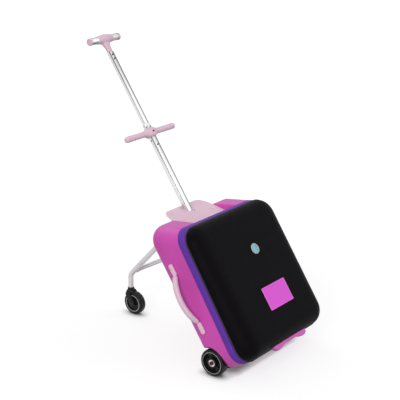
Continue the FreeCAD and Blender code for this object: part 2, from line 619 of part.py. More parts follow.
# Front cover, its piping, label patch, badge disc and foot
cover_start = chain_end + S.part_gap
cover_end = cover_start + S.cover_depth


COVER_TURNS = [90 * turn_share for turn_share in (0, 0.22, 0.42, 0.6, 0.76, 0.9, 1)]
COVER_PIVOT = Vector(0, -cover_end, -S.case_drop)


def cover_form(inset, depth):
    """The cover's form drawn in by an inset; its sides round over to a front face parallel to the back."""
    wires = []
    for turn in COVER_TURNS:
        forward_share = math.sin(math.radians(turn))
        drawn = S.cloth_inset + inset + S.cover_edge_reach * (1 - math.cos(math.radians(turn)))
        corner = S.corner_radius - inset + (S.cover_corner_radius - S.corner_radius) * drawn / (
            S.cover_edge_reach + S.cloth_inset + inset)
        reach = cover_start + depth * forward_share
        half = S.case_width / 2 - drawn
        wire = rounded_wire(half, drawn - S.case_drop, ZIP_HEIGHT - drawn, corner, -reach)
        wire.rotate(Vector(0, -reach, -S.case_drop), X_AXIS, -S.cover_taper_angle * forward_share)
        wires.append(wire)
    return Part.makeLoft(wires, True, True)


cover_hollow = cover_form(S.cover_wall, S.cover_depth - S.cover_wall)
feature("front_cover", cover_form(0, S.cover_depth).cut(cover_hollow), MOUTH)
FACE = MOUTH.multiply(Placement(Vector(), Rotation(X_AXIS, -S.cover_taper_angle), COVER_PIVOT))
piping_path = zip_wire(S.cloth_inset - S.piping_radius - S.seat_gap, cover_start + S.piping_radius)
piping_section = ring_face(S.piping_radius, piping_path.Edges[1])
piping = Part.Wire(piping_path.Edges[1:] + piping_path.Edges[:1]).makePipeShell([piping_section], True, True)
feature("cover_piping", piping, MOUTH)
label_near = "label_shift - label_width/2"
label_far = "label_shift + label_width/2"
label_low = "label_rise - label_height/2"
label_high = "label_rise + label_height/2"
label_corners = [(label_near, label_low), (label_far, label_low),
                 (label_far, label_high), (label_near, label_high)]
label = padded_body("label_patch", "XZ_Plane", label_corners, "label_thickness", False)
round_edges(label, "label_corner_radius", lambda edge: parallel(edge, Y_AXIS))
label.Placement = Placement(Vector(0, -cover_end - S.seat_gap, 0), Rotation())
finish(label, "label_patch", FACE)
badge = doc.addObject("PartDesign::Body", "badge_disc")
badge_sketch = body_sketch(badge, "XZ_Plane")
circle(badge_sketch, "badge_radius", "badge_shift", "badge_rise")
badge_pad = badge.newObject("PartDesign::Pad", "badge_pad")
badge_pad.Profile = badge_sketch
badge_pad.setExpression("Length", bound("badge_thickness"))
doc.recompute()
round_edges(badge, "badge_thickness/2", lambda edge: edge.CenterOfMass.y < -S.badge_thickness / 2)
badge.Placement = Placement(Vector(0, -cover_end - S.seat_gap, 0), Rotation())
finish(badge, "badge_disc", FACE)
foot_top = S.cover_edge_reach / 2 - S.case_drop
lobe_place = S.foot_span / 2 - S.foot_lobe_radius
foot_back = S.foot_depth - S.foot_reach
foot_bar = block(Vector(S.foot_shift - lobe_place, -S.foot_reach, S.foot_arch - S.foot_drop),
                 Vector(S.foot_shift + lobe_place, foot_back, foot_top))
lobes = []
for side in (-1, 1):
    spot = Vector(S.foot_shift + side * lobe_place, -S.foot_reach, S.foot_lobe_radius - S.foot_drop)
    lobes.append(rod(S.foot_lobe_radius, spot, spot + Y_AXIS * S.foot_depth))
foot = foot_bar.fuse(lobes).removeSplitter()
cover_clear = cover_form(-S.seat_gap, S.cover_depth + S.seat_gap)
feature("front_foot", foot.cut(cover_clear), MOUTH)

# Rear wheels: tyre, bright rim, spoked hub, bearings, axle bolt, nut and arch liner on each side
TYRE_POINTS = [("-wheel_width/2", "rim_radius + run_gap"), ("-wheel_width/2", "wheel_radius*0.86"),
               ("-wheel_width*0.43", "wheel_radius*0.945"), ("-wheel_width*0.3", "wheel_radius*0.985"),
               ("-wheel_width*0.12", "wheel_radius"), ("wheel_width*0.12", "wheel_radius"),
               ("wheel_width*0.3", "wheel_radius*0.985"), ("wheel_width*0.43", "wheel_radius*0.945"),
               ("wheel_width/2", "wheel_radius*0.86"), ("wheel_width/2", "rim_radius + run_gap")]
RIM_POINTS = [("-wheel_width/2", "rim_radius - rim_depth"), ("-wheel_width/2", "rim_radius"),
              ("wheel_width/2", "rim_radius"), ("wheel_width/2", "rim_radius - rim_depth")]
HUB_POINTS = [("-wheel_width/2", "bearing_radius + run_gap"), ("-wheel_width/2", "barrel_radius"),
              ("-web_thickness/2", "barrel_radius"),
              ("-web_thickness/2", "rim_radius - rim_depth - run_gap"),
              ("web_thickness/2", "rim_radius - rim_depth - run_gap"), ("web_thickness/2", "barrel_radius"),
              ("wheel_width/2", "barrel_radius"), ("wheel_width/2", "bearing_radius + run_gap"),
              ("wheel_width/2 - bearing_width", "bearing_radius + run_gap"),
              ("wheel_width/2 - bearing_width", "axle_radius*1.6"),
              ("bearing_width - wheel_width/2", "axle_radius*1.6"),
              ("bearing_width - wheel_width/2", "bearing_radius + run_gap")]


def spoked_hub(name):
    """A turned hub whose web is opened by a ring of round windows."""
    body = turned_body(name, HUB_POINTS)
    sketch = body_sketch(body, "YZ_Plane")
    circle(sketch, "spoke_window_radius", "(barrel_radius + rim_radius - rim_depth)/2")
    window = body.newObject("PartDesign::Pocket", name + "_window")
    window.Profile = sketch
    window.SideType = "Symmetric"
    window.setExpression("Length", bound("wheel_width"))
    doc.recompute()
    ring_of = body.newObject("PartDesign::PolarPattern", name + "_windows")
    ring_of.Originals = [window]
    ring_of.Axis = (next(item for item in body.Origin.OriginFeatures if item.Role == "X_Axis"), [""])
    ring_of.setExpression("Occurrences", bound("spoke_count"))
    body.Tip = ring_of
    doc.recompute()
    return body


nuts = []
for name, side in SIDES.items():
    wheel_place = Placement(X_AXIS * side * (S.wheel_face - S.wheel_width / 2), Rotation())
    tyre = turned_body(f"tyre_{name}", TYRE_POINTS)
    rim = turned_body(f"rim_{name}", RIM_POINTS)
    hub = spoked_hub(f"hub_{name}")
    for piece in (tyre, rim, hub):
        piece.Placement = wheel_place
        finish(piece, piece.Name)
    races = []
    for start in (side * WHEEL_INNER, side * (S.wheel_face - S.bearing_width)):
        race_end = X_AXIS * (start + side * S.bearing_width)
        race = rod(S.bearing_radius, X_AXIS * start, race_end)
        races.append(race.cut(rod(S.axle_radius + S.run_gap, X_AXIS * start, race_end)))
    feature(f"bearings_{name}", Part.makeCompound(races))
    boss_end = X_AXIS * side * (WHEEL_INNER - S.part_gap)
    cheek_start = X_AXIS * side * (POCKET_FACE + S.part_gap)
    cheek_end = cheek_start + X_AXIS * side * S.cheek_thickness
    far = X_AXIS * side * (S.case_width / 2 + S.overrun)
    liner = rod(ARCH_RADIUS, cheek_start, far).cut(rod(ARCH_RADIUS - S.arch_wall, cheek_end, far))
    liner = liner.fuse(rod(S.boss_radius, cheek_start, boss_end))
    liner = liner.common(case_form(S.part_gap))
    liner = liner.cut(rod(S.axle_radius + S.run_gap, Vector(), far))
    feature(f"wheel_arch_{name}", liner.removeSplitter())
    head_start = X_AXIS * side * (S.wheel_face + S.part_gap)
    nut_end = X_AXIS * side * (POCKET_FACE - S.case_wall - S.seat_gap)
    thread_end = nut_end - X_AXIS * side * (S.nut_height + S.axle_head_height)
    bolt = rod(S.axle_radius, thread_end, head_start)
    bolt = bolt.fuse(rod(S.axle_head_radius, head_start, head_start + X_AXIS * side * S.axle_head_height))
    feature(f"axle_bolt_{name}", bolt.removeSplitter())
    nut = rod(S.nut_radius, nut_end - X_AXIS * side * S.nut_height, nut_end)
    nuts.append(nut.cut(rod(S.axle_radius + S.run_gap, Vector(), far)))
feature("axle_nuts", Part.makeCompound(nuts))

# Side carry handle: bowed grip on two screwed feet
handle_wall = -S.case_width / 2
grip_x = handle_wall - S.handle_foot_height / 2
grip_high = Vector(grip_x, -S.handle_reach, S.handle_high - S.handle_foot_length / 2)
grip_low = Vector(grip_x, -S.handle_reach, S.handle_low + S.handle_foot_length / 2)
grip_middle = (grip_high + grip_low) / 2 - X_AXIS * S.handle_bow
grip_arc = Part.Arc(grip_high, grip_middle, grip_low).toShape()
grip_section = ring_face(S.handle_radius, grip_arc)
grip = Part.Wire([grip_arc]).makePipeShell([grip_section], True, True)
feet = []
handle_screws = []
for height in (S.handle_high, S.handle_low):
    low = Vector(handle_wall - S.handle_foot_height - S.seat_gap, -S.handle_reach - S.handle_foot_width / 2,
                 height - S.handle_foot_length / 2)
    foot_block = block(low, low + Vector(S.handle_foot_height, S.handle_foot_width, S.handle_foot_length))
    foot_block = foot_block.makeFillet(S.handle_foot_width / 3, edges_along(foot_block, X_AXIS))
    feet.append(foot_block)
    outward = math.copysign(S.handle_foot_length / 5, height - S.mouth_height / 2)
    spot = Vector(low.x - S.seat_gap, -S.handle_reach, height + outward)
    handle_screws.append(rod(S.handle_screw_radius, spot, spot - X_AXIS * S.seat_screw_head))
wall_side = block(Vector(handle_wall - S.seat_gap, -S.case_width, -S.case_drop),
                  Vector(0, S.case_width, TOWER_HEIGHT))
handle = grip.fuse(feet).cut(wall_side).removeSplitter()
screw_room = [rod(S.handle_screw_radius + S.seat_gap, s.CenterOfMass + X_AXIS * S.seat_screw_head / 2,
                  s.CenterOfMass - X_AXIS * S.overrun) for s in handle_screws]
feature("side_handle", handle.cut(screw_room))
feature("handle_screws", Part.makeCompound(handle_screws))

# Folding leg: hinge bracket and rail on the back, arm tube, brace bar and pins
BACK = S.back_reach
LEAN_TURN = math.radians(S.lean_angle)
DOWN = Vector(0, math.sin(LEAN_TURN), -math.cos(LEAN_TURN))
hinge_point = Vector(0, BACK + S.arm_hinge_stand, HINGE_HEIGHT)
crown_top = S.caster_radius * 2 + S.crown_gap + S.crown_thickness
bend_place = Vector(0, LEAN.multVec(hinge_point).y + S.arm_run, crown_top + S.stem_length)
bend_point = LEAN.inverse().multVec(bend_place)
arm_line = (bend_point - hinge_point).normalize()
brace_pin = bend_point - arm_line * S.brace_pin_back
brace_foot = Vector(0, BACK + S.brace_foot_stand, BRACE_FOOT_HEIGHT)
stem_end = bend_point + DOWN * (S.stem_length - S.part_gap)
turn_angle = arm_line.getAngle(DOWN)
bend_run = S.arm_bend_radius * math.tan(turn_angle / 2)
bend_start = bend_point - arm_line * bend_run
bend_end = bend_point + DOWN * bend_run
bisector = (DOWN - arm_line).normalize()
bend_centre = bend_point + bisector * (S.arm_bend_radius / math.cos(turn_angle / 2))
bend_middle = bend_centre - bisector * S.arm_bend_radius
arm_start = hinge_point + arm_line * S.arm_eye_length / 2
arm_bend = Part.Arc(bend_start, bend_middle, bend_end).toShape()
arm_path = Part.Wire([Part.makeLine(arm_start, bend_start), arm_bend, Part.makeLine(bend_end, stem_end)])


def arm_pipe(radius):
    """The arm's round tube swept along its bent path."""
    section = Part.Wire(Part.makeCircle(radius, arm_start, arm_line))
    return arm_path.makePipeShell([section], True, True)


arm = arm_pipe(S.arm_radius).cut(arm_pipe(S.arm_radius - S.arm_wall))
feature("arm_tube", arm.cut(cross_rod(S.pivot_radius + S.run_gap, brace_pin, S.overrun)))
eye_half_width = S.arm_radius
eye_barrel = cross_rod(S.arm_radius * 1.15, hinge_point, eye_half_width)
plug_end = hinge_point + arm_line * S.arm_eye_length * 1.5
eye_plug = rod(S.arm_radius - S.arm_wall - S.run_gap, hinge_point, plug_end)
eye_neck = rod(S.arm_radius, hinge_point, hinge_point + arm_line * (S.arm_eye_length / 2 - S.seat_gap))
eye_pin_hole = cross_rod(S.pivot_radius + S.run_gap, hinge_point, S.overrun)
feature("arm_eye", eye_barrel.fuse([eye_plug, eye_neck]).cut(eye_pin_hole).removeSplitter())
cheek_inner = eye_half_width + S.cheek_gap
cheek_outer = cheek_inner + S.bracket_cheek
bracket_low = HINGE_HEIGHT - S.bracket_height * 0.55
bracket_top = HINGE_HEIGHT + S.bracket_height * 0.45
plate_back = BACK + S.seat_gap
bracket = block(Vector(-cheek_outer, plate_back, bracket_low),
                Vector(cheek_outer, plate_back + S.bracket_plate, bracket_top))
for side in (-1, 1):
    inner = side * cheek_inner
    outer = side * cheek_outer
    nose = rod(S.arm_radius * 1.15, hinge_point + X_AXIS * inner, hinge_point + X_AXIS * outer)
    web = block(Vector(min(inner, outer), plate_back, HINGE_HEIGHT - S.arm_radius * 1.15),
                Vector(max(inner, outer), hinge_point.y, HINGE_HEIGHT + S.arm_radius * 1.15))
    bracket = bracket.fuse([nose, web])
feature("arm_bracket", bracket.cut(eye_pin_hole).removeSplitter())
pin_half = cheek_outer + S.part_gap
feature("arm_hinge_pin", cross_rod(S.pivot_radius, hinge_point, pin_half))
bracket_screws = []
for height_share in (0.12, 0.32):
    for side in (-1, 1):
        height = bracket_low + S.bracket_height * height_share
        spot = Vector(side * cheek_inner / 2, plate_back + S.bracket_plate + S.seat_gap, height)
        bracket_screws.append(rod(S.seat_screw_radius, spot, spot + Y_AXIS * S.seat_screw_head))
aside = X_AXIS * S.brace_offset
brace_ends = [brace_foot + aside, brace_pin + aside]
outer_end = S.brace_offset + S.brace_radius
brace = rod(S.brace_radius, *brace_ends)
for spot in brace_ends:
    brace = brace.fuse(cross_rod(S.brace_radius * 1.2, spot, S.brace_radius))
shoe_end = brace_ends[0] + X_AXIS * (S.brace_radius + S.shoe_length)
shoe = rod(S.shoe_radius, brace_ends[0], shoe_end)
pin_hole = rod(S.pivot_radius + S.run_gap, brace_pin, brace_pin + X_AXIS * S.overrun * 2)
feature("brace_bar", brace.fuse(shoe).cut(pin_hole).removeSplitter())
wall_inner = outer_end + S.shoe_length + S.part_gap
wall_outer = wall_inner + S.rail_wall
lip_low = BACK + S.brace_foot_stand + S.shoe_radius + S.part_gap
rail_walls = [(wall_inner, wall_outer, plate_back, lip_low + S.rail_wall),
              (outer_end + S.part_gap * 3, wall_outer, lip_low, lip_low + S.rail_wall),
              (wall_inner, wall_outer + S.rail_flange, plate_back, plate_back + S.rail_wall)]
rail = [block(Vector(near, start, RAIL_LOW), Vector(distant, end, RAIL_HIGH))
        for near, distant, start, end in rail_walls]
feature("brace_rail", rail[0].fuse(rail[1:]).removeSplitter())
feature("brace_pin", rod(S.pivot_radius, brace_pin - X_AXIS * (S.arm_radius + S.part_gap),
                         brace_pin + X_AXIS * (outer_end + S.part_gap)))
for height_share in (0.15, 0.85):
    height = RAIL_LOW + (RAIL_HIGH - RAIL_LOW) * height_share
    spot = Vector(wall_outer + S.rail_flange / 2, plate_back + S.rail_wall + S.seat_gap, height)
    bracket_screws.append(rod(S.seat_screw_radius, spot, spot + Y_AXIS * S.seat_screw_head))
feature("leg_screws", Part.makeCompound(bracket_screws))

# Caster under the arm, set in the upright ground frame
stem_axis = LEAN.multVec(stem_end)
stem_axis.z = 0
UPRIGHT = Placement(stem_axis, Rotation())
stem_low = crown_top + S.part_gap
collar_top = Vector(0, 0, stem_low + S.stem_collar_height)
collar = rod(S.stem_collar_radius, Vector(0, 0, stem_low), collar_top)
collar = collar.cut(rod(S.arm_radius + S.run_gap, Vector(0, 0, 0), collar_top))
feature("stem_collar", collar, UPRIGHT)
bolt_room = S.arm_radius - S.arm_wall - S.run_gap
bush_top = stem_low + S.stem_collar_height * 2
bushing = rod(bolt_room, Vector(0, 0, stem_low + S.seat_gap), Vector(0, 0, bush_top))
bushing = bushing.cut(rod(S.stem_bolt_radius + S.run_gap, Vector(), Vector(0, 0, TOWER_HEIGHT)))
feature("stem_bush", bushing, UPRIGHT)
wheel_centre = Vector(0, -S.caster_trail, S.caster_radius)
cheek_inner = S.caster_width / 2 + S.fork_gap
cheek_outer = cheek_inner + S.fork_cheek
crown_low = crown_top - S.crown_thickness
crown = rod(S.stem_collar_radius, Vector(0, 0, crown_low), Vector(0, 0, crown_top))
crown = crown.fuse(block(Vector(-cheek_outer, -S.stem_collar_radius, crown_low),
                         Vector(cheek_outer, S.stem_collar_radius, crown_top)))
for side in (-1, 1):
    inner = side * cheek_inner
    outer = side * cheek_outer
    nose_front = -S.caster_trail - S.fork_nose_radius
    profile = [Vector(inner, S.stem_collar_radius, crown_top),
               Vector(inner, -S.stem_collar_radius, crown_top), Vector(inner, nose_front, S.caster_radius),
               Vector(inner, S.fork_nose_radius - S.caster_trail, S.caster_radius)]
    cheek = Part.Face(Part.makePolygon(profile + profile[:1])).extrude(Vector(outer - inner, 0, 0))
    nose = rod(S.fork_nose_radius, wheel_centre + X_AXIS * inner, wheel_centre + X_AXIS * outer)
    crown = crown.fuse([cheek, nose])
stem_bolt = rod(S.stem_bolt_radius, Vector(0, 0, crown_low), Vector(0, 0, bush_top - S.part_gap))
axle_hole = cross_rod(S.caster_axle_radius + S.run_gap, wheel_centre, S.overrun)
feature("caster_fork", crown.fuse(stem_bolt).cut(axle_hole).removeSplitter(), UPRIGHT)
caster_axle = cross_rod(S.caster_axle_radius, wheel_centre, cheek_outer + S.part_gap)
feature("caster_axle", caster_axle, UPRIGHT)
caster_tyre = turned_body("caster_tyre", [
    ("-caster_width/2", "caster_rim_radius + run_gap"), ("-caster_width/2", "caster_radius*0.86"),
    ("-caster_width*0.4", "caster_radius*0.955"), ("-caster_width*0.2", "caster_radius"),
    ("caster_width*0.2", "caster_radius"),
    ("caster_width*0.4", "caster_radius*0.955"), ("caster_width/2", "caster_radius*0.86"),
    ("caster_width/2", "caster_rim_radius + run_gap")])
caster_hub = turned_body("caster_hub", [
    ("-caster_width/2", "caster_axle_radius + run_gap"), ("-caster_width/2", "caster_axle_radius*2.2"),
    ("-caster_width*0.3", "caster_axle_radius*2.4"), ("-caster_width*0.3", "caster_rim_radius*0.82"),
    ("-caster_width/2", "caster_rim_radius*0.88"), ("-caster_width/2", "caster_rim_radius"),
    ("caster_width/2", "caster_rim_radius"), ("caster_width/2", "caster_rim_radius*0.88"),
    ("caster_width*0.3", "caster_rim_radius*0.82"), ("caster_width*0.3", "caster_axle_radius*2.4"),
    ("caster_width/2", "caster_axle_radius*2.2"), ("caster_width/2", "caster_axle_radius + run_gap")])
for piece in (caster_tyre, caster_hub):
    piece.Placement = Placement(wheel_centre, Rotation())
    finish(piece, piece.Name, UPRIGHT)

# Origin: middle of the footprint box, on the ground
doc.recompute()
box = FreeCAD.BoundBox()
for item in parts:
    box.add(item.Shape.optimalBoundingBox(True, False))
shift = Placement(Vector(-box.Center.x, -box.Center.y, -box.ZMin), Rotation())
for item in parts:
    item.Placement = shift.multiply(item.Placement)
doc.recompute()

# Nothing is written unless every object is sound
for item in doc.Objects:
    if "Invalid" in item.State or "Error" in item.State:
        raise RuntimeError(f"{item.Name} failed: {item.State}")
for item in parts:
    if item.Shape.isNull() or not item.Shape.isValid() or not item.Shape.Solids:
        raise RuntimeError(f"{item.Label} has no sound solid")
os.makedirs("parts", exist_ok=True)
for item in parts:
    item.Shape.exportStep(f"parts/{item.Label}.step")
print(len(parts), "pieces; origin shift", shift.Base)
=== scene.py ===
# %% [markdown]
# # A ride-on suitcase, dressed
# The solid model gives every place and every moving joint. This lesson adds what the eye looks for:
# moulded plastic, drawn metal, cloth, a zip and rubber. Every new piece is a surface worked out with numpy,
# a function of two parameters on a grid, because such a piece can be changed by changing one number.

# %% Load the fixed frame
import json
from math import atan2, cos, degrees, hypot, pi, radians, sin

import bmesh
import bpy
import numpy as np
from mathutils import Matrix


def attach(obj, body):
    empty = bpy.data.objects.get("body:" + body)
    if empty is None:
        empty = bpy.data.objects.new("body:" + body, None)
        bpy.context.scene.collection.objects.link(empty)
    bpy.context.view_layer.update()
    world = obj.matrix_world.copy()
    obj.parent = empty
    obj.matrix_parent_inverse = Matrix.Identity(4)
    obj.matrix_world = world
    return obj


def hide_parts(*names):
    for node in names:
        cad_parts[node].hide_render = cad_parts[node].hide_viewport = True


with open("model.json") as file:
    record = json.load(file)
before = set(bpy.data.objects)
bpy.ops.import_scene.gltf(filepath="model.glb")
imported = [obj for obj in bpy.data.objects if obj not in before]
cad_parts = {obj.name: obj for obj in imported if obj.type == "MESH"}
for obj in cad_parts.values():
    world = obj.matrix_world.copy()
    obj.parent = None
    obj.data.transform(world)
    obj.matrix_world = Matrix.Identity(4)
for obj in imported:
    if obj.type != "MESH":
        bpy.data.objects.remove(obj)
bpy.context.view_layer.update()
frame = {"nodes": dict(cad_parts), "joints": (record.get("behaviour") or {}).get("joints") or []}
joints = {joint["name"]: joint for joint in frame["joints"]}

# %% [markdown]
# ## Three drawing boards
# The case leans back on its rear axle, so nothing on it is square to the floor. A maker would lay it flat on
# a bench and measure from the axle. Three functions do the same: they take millimetres across, forward and
# up and give the place in the leaning frame. The mouth of the case and the face of the cover are turned a
# little more, so they have boards of their own.

# %% Bench, mouth and face places
AXLE = np.array(joints["left_roll"]["pos_m"])
UP = np.array(joints["lower_slide"]["axis"])
ACROSS = np.array([1.0, 0.0, 0.0])
FORWARD = np.cross(ACROSS, UP)
LEAN = atan2(UP[1], UP[2])
TAPER = radians(2.2)
CASE_DROP, MOUTH_HEIGHT, ZIP_HEIGHT = 32.0, 321.0, 313.0
CASE_HALF, CASE_CORNER = 167.5, 42.0
COVER_START, COVER_END = 89.9, 132.9
POLE_LINE, FACE_SHIFT = 4.0, 12.0
SIDES = ("left", -1), ("right", 1)


def case_place(across, forward, up):
    """Bench millimetres to the frame: the axle plus each measure along its own direction."""
    across, forward, up = np.broadcast_arrays(across, forward, up)
    return AXLE + (across[..., None] * ACROSS + forward[..., None] * FORWARD + up[..., None] * UP) / 1000


def mouth_place(across, reach, rise):
    """The mouth's board is the bench turned forward by the taper angle about the axle."""
    forward = reach * cos(TAPER) + rise * sin(TAPER)
    return case_place(across, forward, rise * cos(TAPER) - reach * sin(TAPER))


def tilted(reach, rise, lift, turn):
    """Turns a cover point back by an angle about the bottom edge, so the top comes nearer to the case."""
    over = rise + CASE_DROP
    high = over * np.cos(turn) + lift * np.sin(turn) - CASE_DROP
    return reach + lift * np.cos(turn) - over * np.sin(turn), high


def face_place(across, lift, rise):
    """The cover's flat face: the mouth's board turned back by the taper angle at the cover's end."""
    return mouth_place(across, *tilted(COVER_END, rise, lift, TAPER))


print("lean", round(degrees(LEAN), 2), "degrees, axle at", AXLE.round(4).tolist())

# %% [markdown]
# ## From a grid of points to a piece
# A grid is rows and columns of points. Neighbours make four-sided faces. The columns always meet, as round a
# tube, and the rows meet too in a ring. Points that fall together, as at a pole, are welded. Each face
# corner also keeps how far it lies along both directions in metres, which later gives cloth a weave of the
# right size. Blender's own primitives could be bent into shape instead, but a formula is exact.

# %% Grid to mesh
WELD_GAP, SHARP_ANGLE = 2e-6, 38.0
QUAD = np.array([[0, 0], [1, 0], [1, 1], [0, 1]])


def grid_quads(rows, columns, closed):
    """Joins each grid point to its next neighbours; the last row also meets the first if closed."""
    row, column = np.meshgrid(np.arange(rows - (not closed)), np.arange(columns), indexing="ij")
    steps = np.stack([row, column], -1)[..., None, :] + QUAD
    quads = steps[..., 0] % rows * columns + steps[..., 1] % columns
    return quads.reshape(-1, 4), steps.reshape(-1, 2)


def grid_lengths(grid, steps):
    """How far each face corner lies along the rows and columns: running sums of the mean step lengths."""
    sums = []
    for axis in (0, 1):
        stride = np.linalg.norm(np.roll(grid, -1, axis) - grid, axis=-1).mean(1 - axis)
        sums.append(np.r_[0, np.cumsum(stride)][steps[:, axis]])
    return np.stack(sums, -1)


def put(name, data):
    """A new object at the origin, linked into the scene."""
    item = bpy.data.objects.new(name, data)
    bpy.context.scene.collection.objects.link(item)
    return item


def settle(name, mesh, sharp, finish, body, stands_for):
    """Shades a mesh smooth up to a sharp angle in degrees, gives it its finish and sets it on its body."""
    mesh.polygons.foreach_set("use_smooth", np.ones(len(mesh.polygons), bool))
    mesh.set_sharp_from_angle(angle=radians(sharp))
    mesh.materials.append(finish)
    piece = put(name, mesh)
    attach(piece, body)
    if stands_for:
        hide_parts(*stands_for)
    return piece


def make_piece(name, tubes, finish, body, stands_for=(), rings=()):
    """Welds grids, open tubes first and rings after them, into one mesh with outward faces, and settles it."""
    points, quads, lengths, count = [], [], [], 0
    for grid, closed in [(tube, False) for tube in tubes] + [(ring, True) for ring in rings]:
        faces, steps = grid_quads(*grid.shape[:2], closed)
        points.append(grid.reshape(-1, 3))
        quads.append(faces + count)
        lengths.append(grid_lengths(grid, steps))
        count += len(points[-1])
    mesh = bpy.data.meshes.new(name)
    mesh.from_pydata(np.concatenate(points).tolist(), [], np.concatenate(quads).tolist())
    mesh.uv_layers.new(name="lengths").data.foreach_set("uv", np.concatenate(lengths).ravel())
    work = bmesh.new()
    work.from_mesh(mesh)
    bmesh.ops.remove_doubles(work, verts=work.verts, dist=WELD_GAP)
    bmesh.ops.recalc_face_normals(work, faces=work.faces)
    work.to_mesh(mesh)
    work.free()
    print(f"{name}: {len(mesh.polygons)} faces on {body}")
    return settle(name, mesh, SHARP_ANGLE, finish, body, stands_for)


def rounded_loop(half, low, high, radius, corner=12, straight=14):
    """Rounded rectangles, one per row: quarter circles at the corners joined by evenly divided straights."""
    sizes = np.broadcast_arrays(half, low, high, radius)
    half, low, high, radius = [np.asarray(size, float)[..., None] for size in sizes]
    turn = np.linspace(0, pi / 2, corner)
    arcs = []
    for index, (side, end, offset) in enumerate(((1, low, 1), (1, high, -1), (-1, high, -1), (-1, low, 1))):
        angle = turn + (index - 1) * pi / 2
        x = side * (half - radius) + radius * np.cos(angle)
        z = end + offset * radius + radius * np.sin(angle)
        arcs.append(np.stack([x, z], -1))
    along = np.arange(1, straight + 1)[:, None] / (straight + 1)
    loop = []
    for arc, following in zip(arcs, arcs[1:] + arcs[:1]):
        loop += [arc, arc[..., -1:, :] + (following[..., :1, :] - arc[..., -1:, :]) * along]
    return np.concatenate(loop, -2)


def unit(rows):
    """Directions at length one."""
    return rows / np.linalg.norm(rows, axis=-1, keepdims=True)


def round_turn(steps):
    """Evenly spaced angles once round a circle."""
    return np.linspace(0, 2 * pi, steps, endpoint=False)


def squared(value, power):
    """Keeps the sign and raises the size to a power; below one, a round form fills out to a square one."""
    return np.sign(value) * np.abs(value) ** power


def globe(rows, columns, power):
    """A globe of radius one, with its sines and cosines squared off by a power."""
    lift, turn = np.linspace(-pi / 2, pi / 2, rows)[:, None], round_turn(columns)
    ring = squared(np.cos(lift), power)
    return np.stack([ring * squared(np.cos(turn), power), ring * squared(np.sin(turn), power),
                     squared(np.sin(lift), power) + 0 * turn], -1)


def turned(centre, along, out, across=ACROSS, steps=72):
    """Turns a profile about an axis: each row is a circle of that radius at that distance along the axis."""
    side = unit(np.cross(across, [0, 0, 1.0]))
    other = np.cross(across, side)
    angle = round_turn(steps)[None, :, None]
    along, out = np.asarray(along)[:, None, None] / 1000, np.asarray(out)[:, None, None] / 1000
    return centre + along * across + out * (np.cos(angle) * side + np.sin(angle) * other)


def carried(path, first, second, sizes_first, sizes_second, steps=40, power=1.0):
    """Carries a closed oval along a path: cosine along one direction, sine along the other, squared off."""
    angle = round_turn(steps)[None, :, None]
    reach = sizes_first[:, None, None] * squared(np.cos(angle), power) * first[:, None]
    rise = sizes_second[:, None, None] * squared(np.sin(angle), power) * second[:, None]
    return path[:, None] + reach + rise


def smooth_step(value, low, high):
    """Runs from 0 to 1 between two places, level at both ends: three squares less two cubes."""
    share = np.clip((value - low) / (high - low), 0, 1)
    return share * share * (3 - 2 * share)


def bench_place(piece):
    """Bench millimetres of every vertex: the parts of its offset from the axle along the three directions."""
    flat = np.empty(len(piece.data.vertices) * 3)
    piece.data.vertices.foreach_get("co", flat)
    return (flat.reshape(-1, 3) - AXLE) @ np.stack([ACROSS, FORWARD, UP], 1) * 1000


print("grid tools ready")

# %% [markdown]
# ## Finishes
# Each finish is a small network of procedural nodes. Moulded plastic has a fine spark-eroded grain, a slow
# drift of tone and a roughness that is never quite even. All finishes read Object coordinates or the lengths
# kept in the mesh, so they stay put when the piece moves or is seen from elsewhere.

# %% Node helpers and moulded plastic
def start_finish(name):
    """A new material with its node tree and shader."""
    finish = bpy.data.materials.new(name)
    finish.use_nodes = True
    return finish, finish.node_tree, finish.node_tree.nodes["Principled BSDF"]


def feed(tree, item, values):
    """Fills a node's sockets: another node's output is linked, and anything else is a plain value."""
    for key, value in values.items():
        if isinstance(value, bpy.types.NodeSocket):
            tree.links.new(value, item.inputs[key])
        else:
            item.inputs[key].default_value = value


def add(tree, kind, values, output=0, **settings):
    """Adds a node with its settings, fills its sockets and gives back one of its outputs."""
    item = tree.nodes.new("ShaderNode" + kind)
    for key, value in settings.items():
        setattr(item, key, value)
    feed(tree, item, values)
    return item.outputs[output]


def noise(tree, place, scale, detail, roughness=0.5):
    """A noise pattern whose scale is in ripples per metre."""
    return add(tree, "TexNoise", {"Vector": place, "Scale": scale, "Detail": detail, "Roughness": roughness})


def ranged(tree, value, from_min, from_max, to_min, to_max):
    """Stretches a pattern between two values to run between two others."""
    return add(tree, "MapRange", {"Value": value, "From Min": from_min, "From Max": from_max,
                                  "To Min": to_min, "To Max": to_max})


def toned(tree, shader, pattern, low, high, dark, light):
    """Colours a surface between two tones by a pattern."""
    colour = add(tree, "ValToRGB", {"Fac": pattern})
    for element, place, tone in zip(colour.node.color_ramp.elements, (low, high), (dark, light)):
        element.position, element.color = place, (*np.clip(tone, 0, 1), 1)
    feed(tree, shader, {"Base Color": colour})


def bumped(tree, shader, pattern, strength, height, below=None):
    """Raises a pattern as bumps of a height in metres, on top of another bump if one is given."""
    values = {"Height": pattern, "Strength": strength, "Distance": height}
    bump = add(tree, "Bump", {**values, "Normal": below} if below else values)
    feed(tree, shader, {"Normal": bump})
    return bump


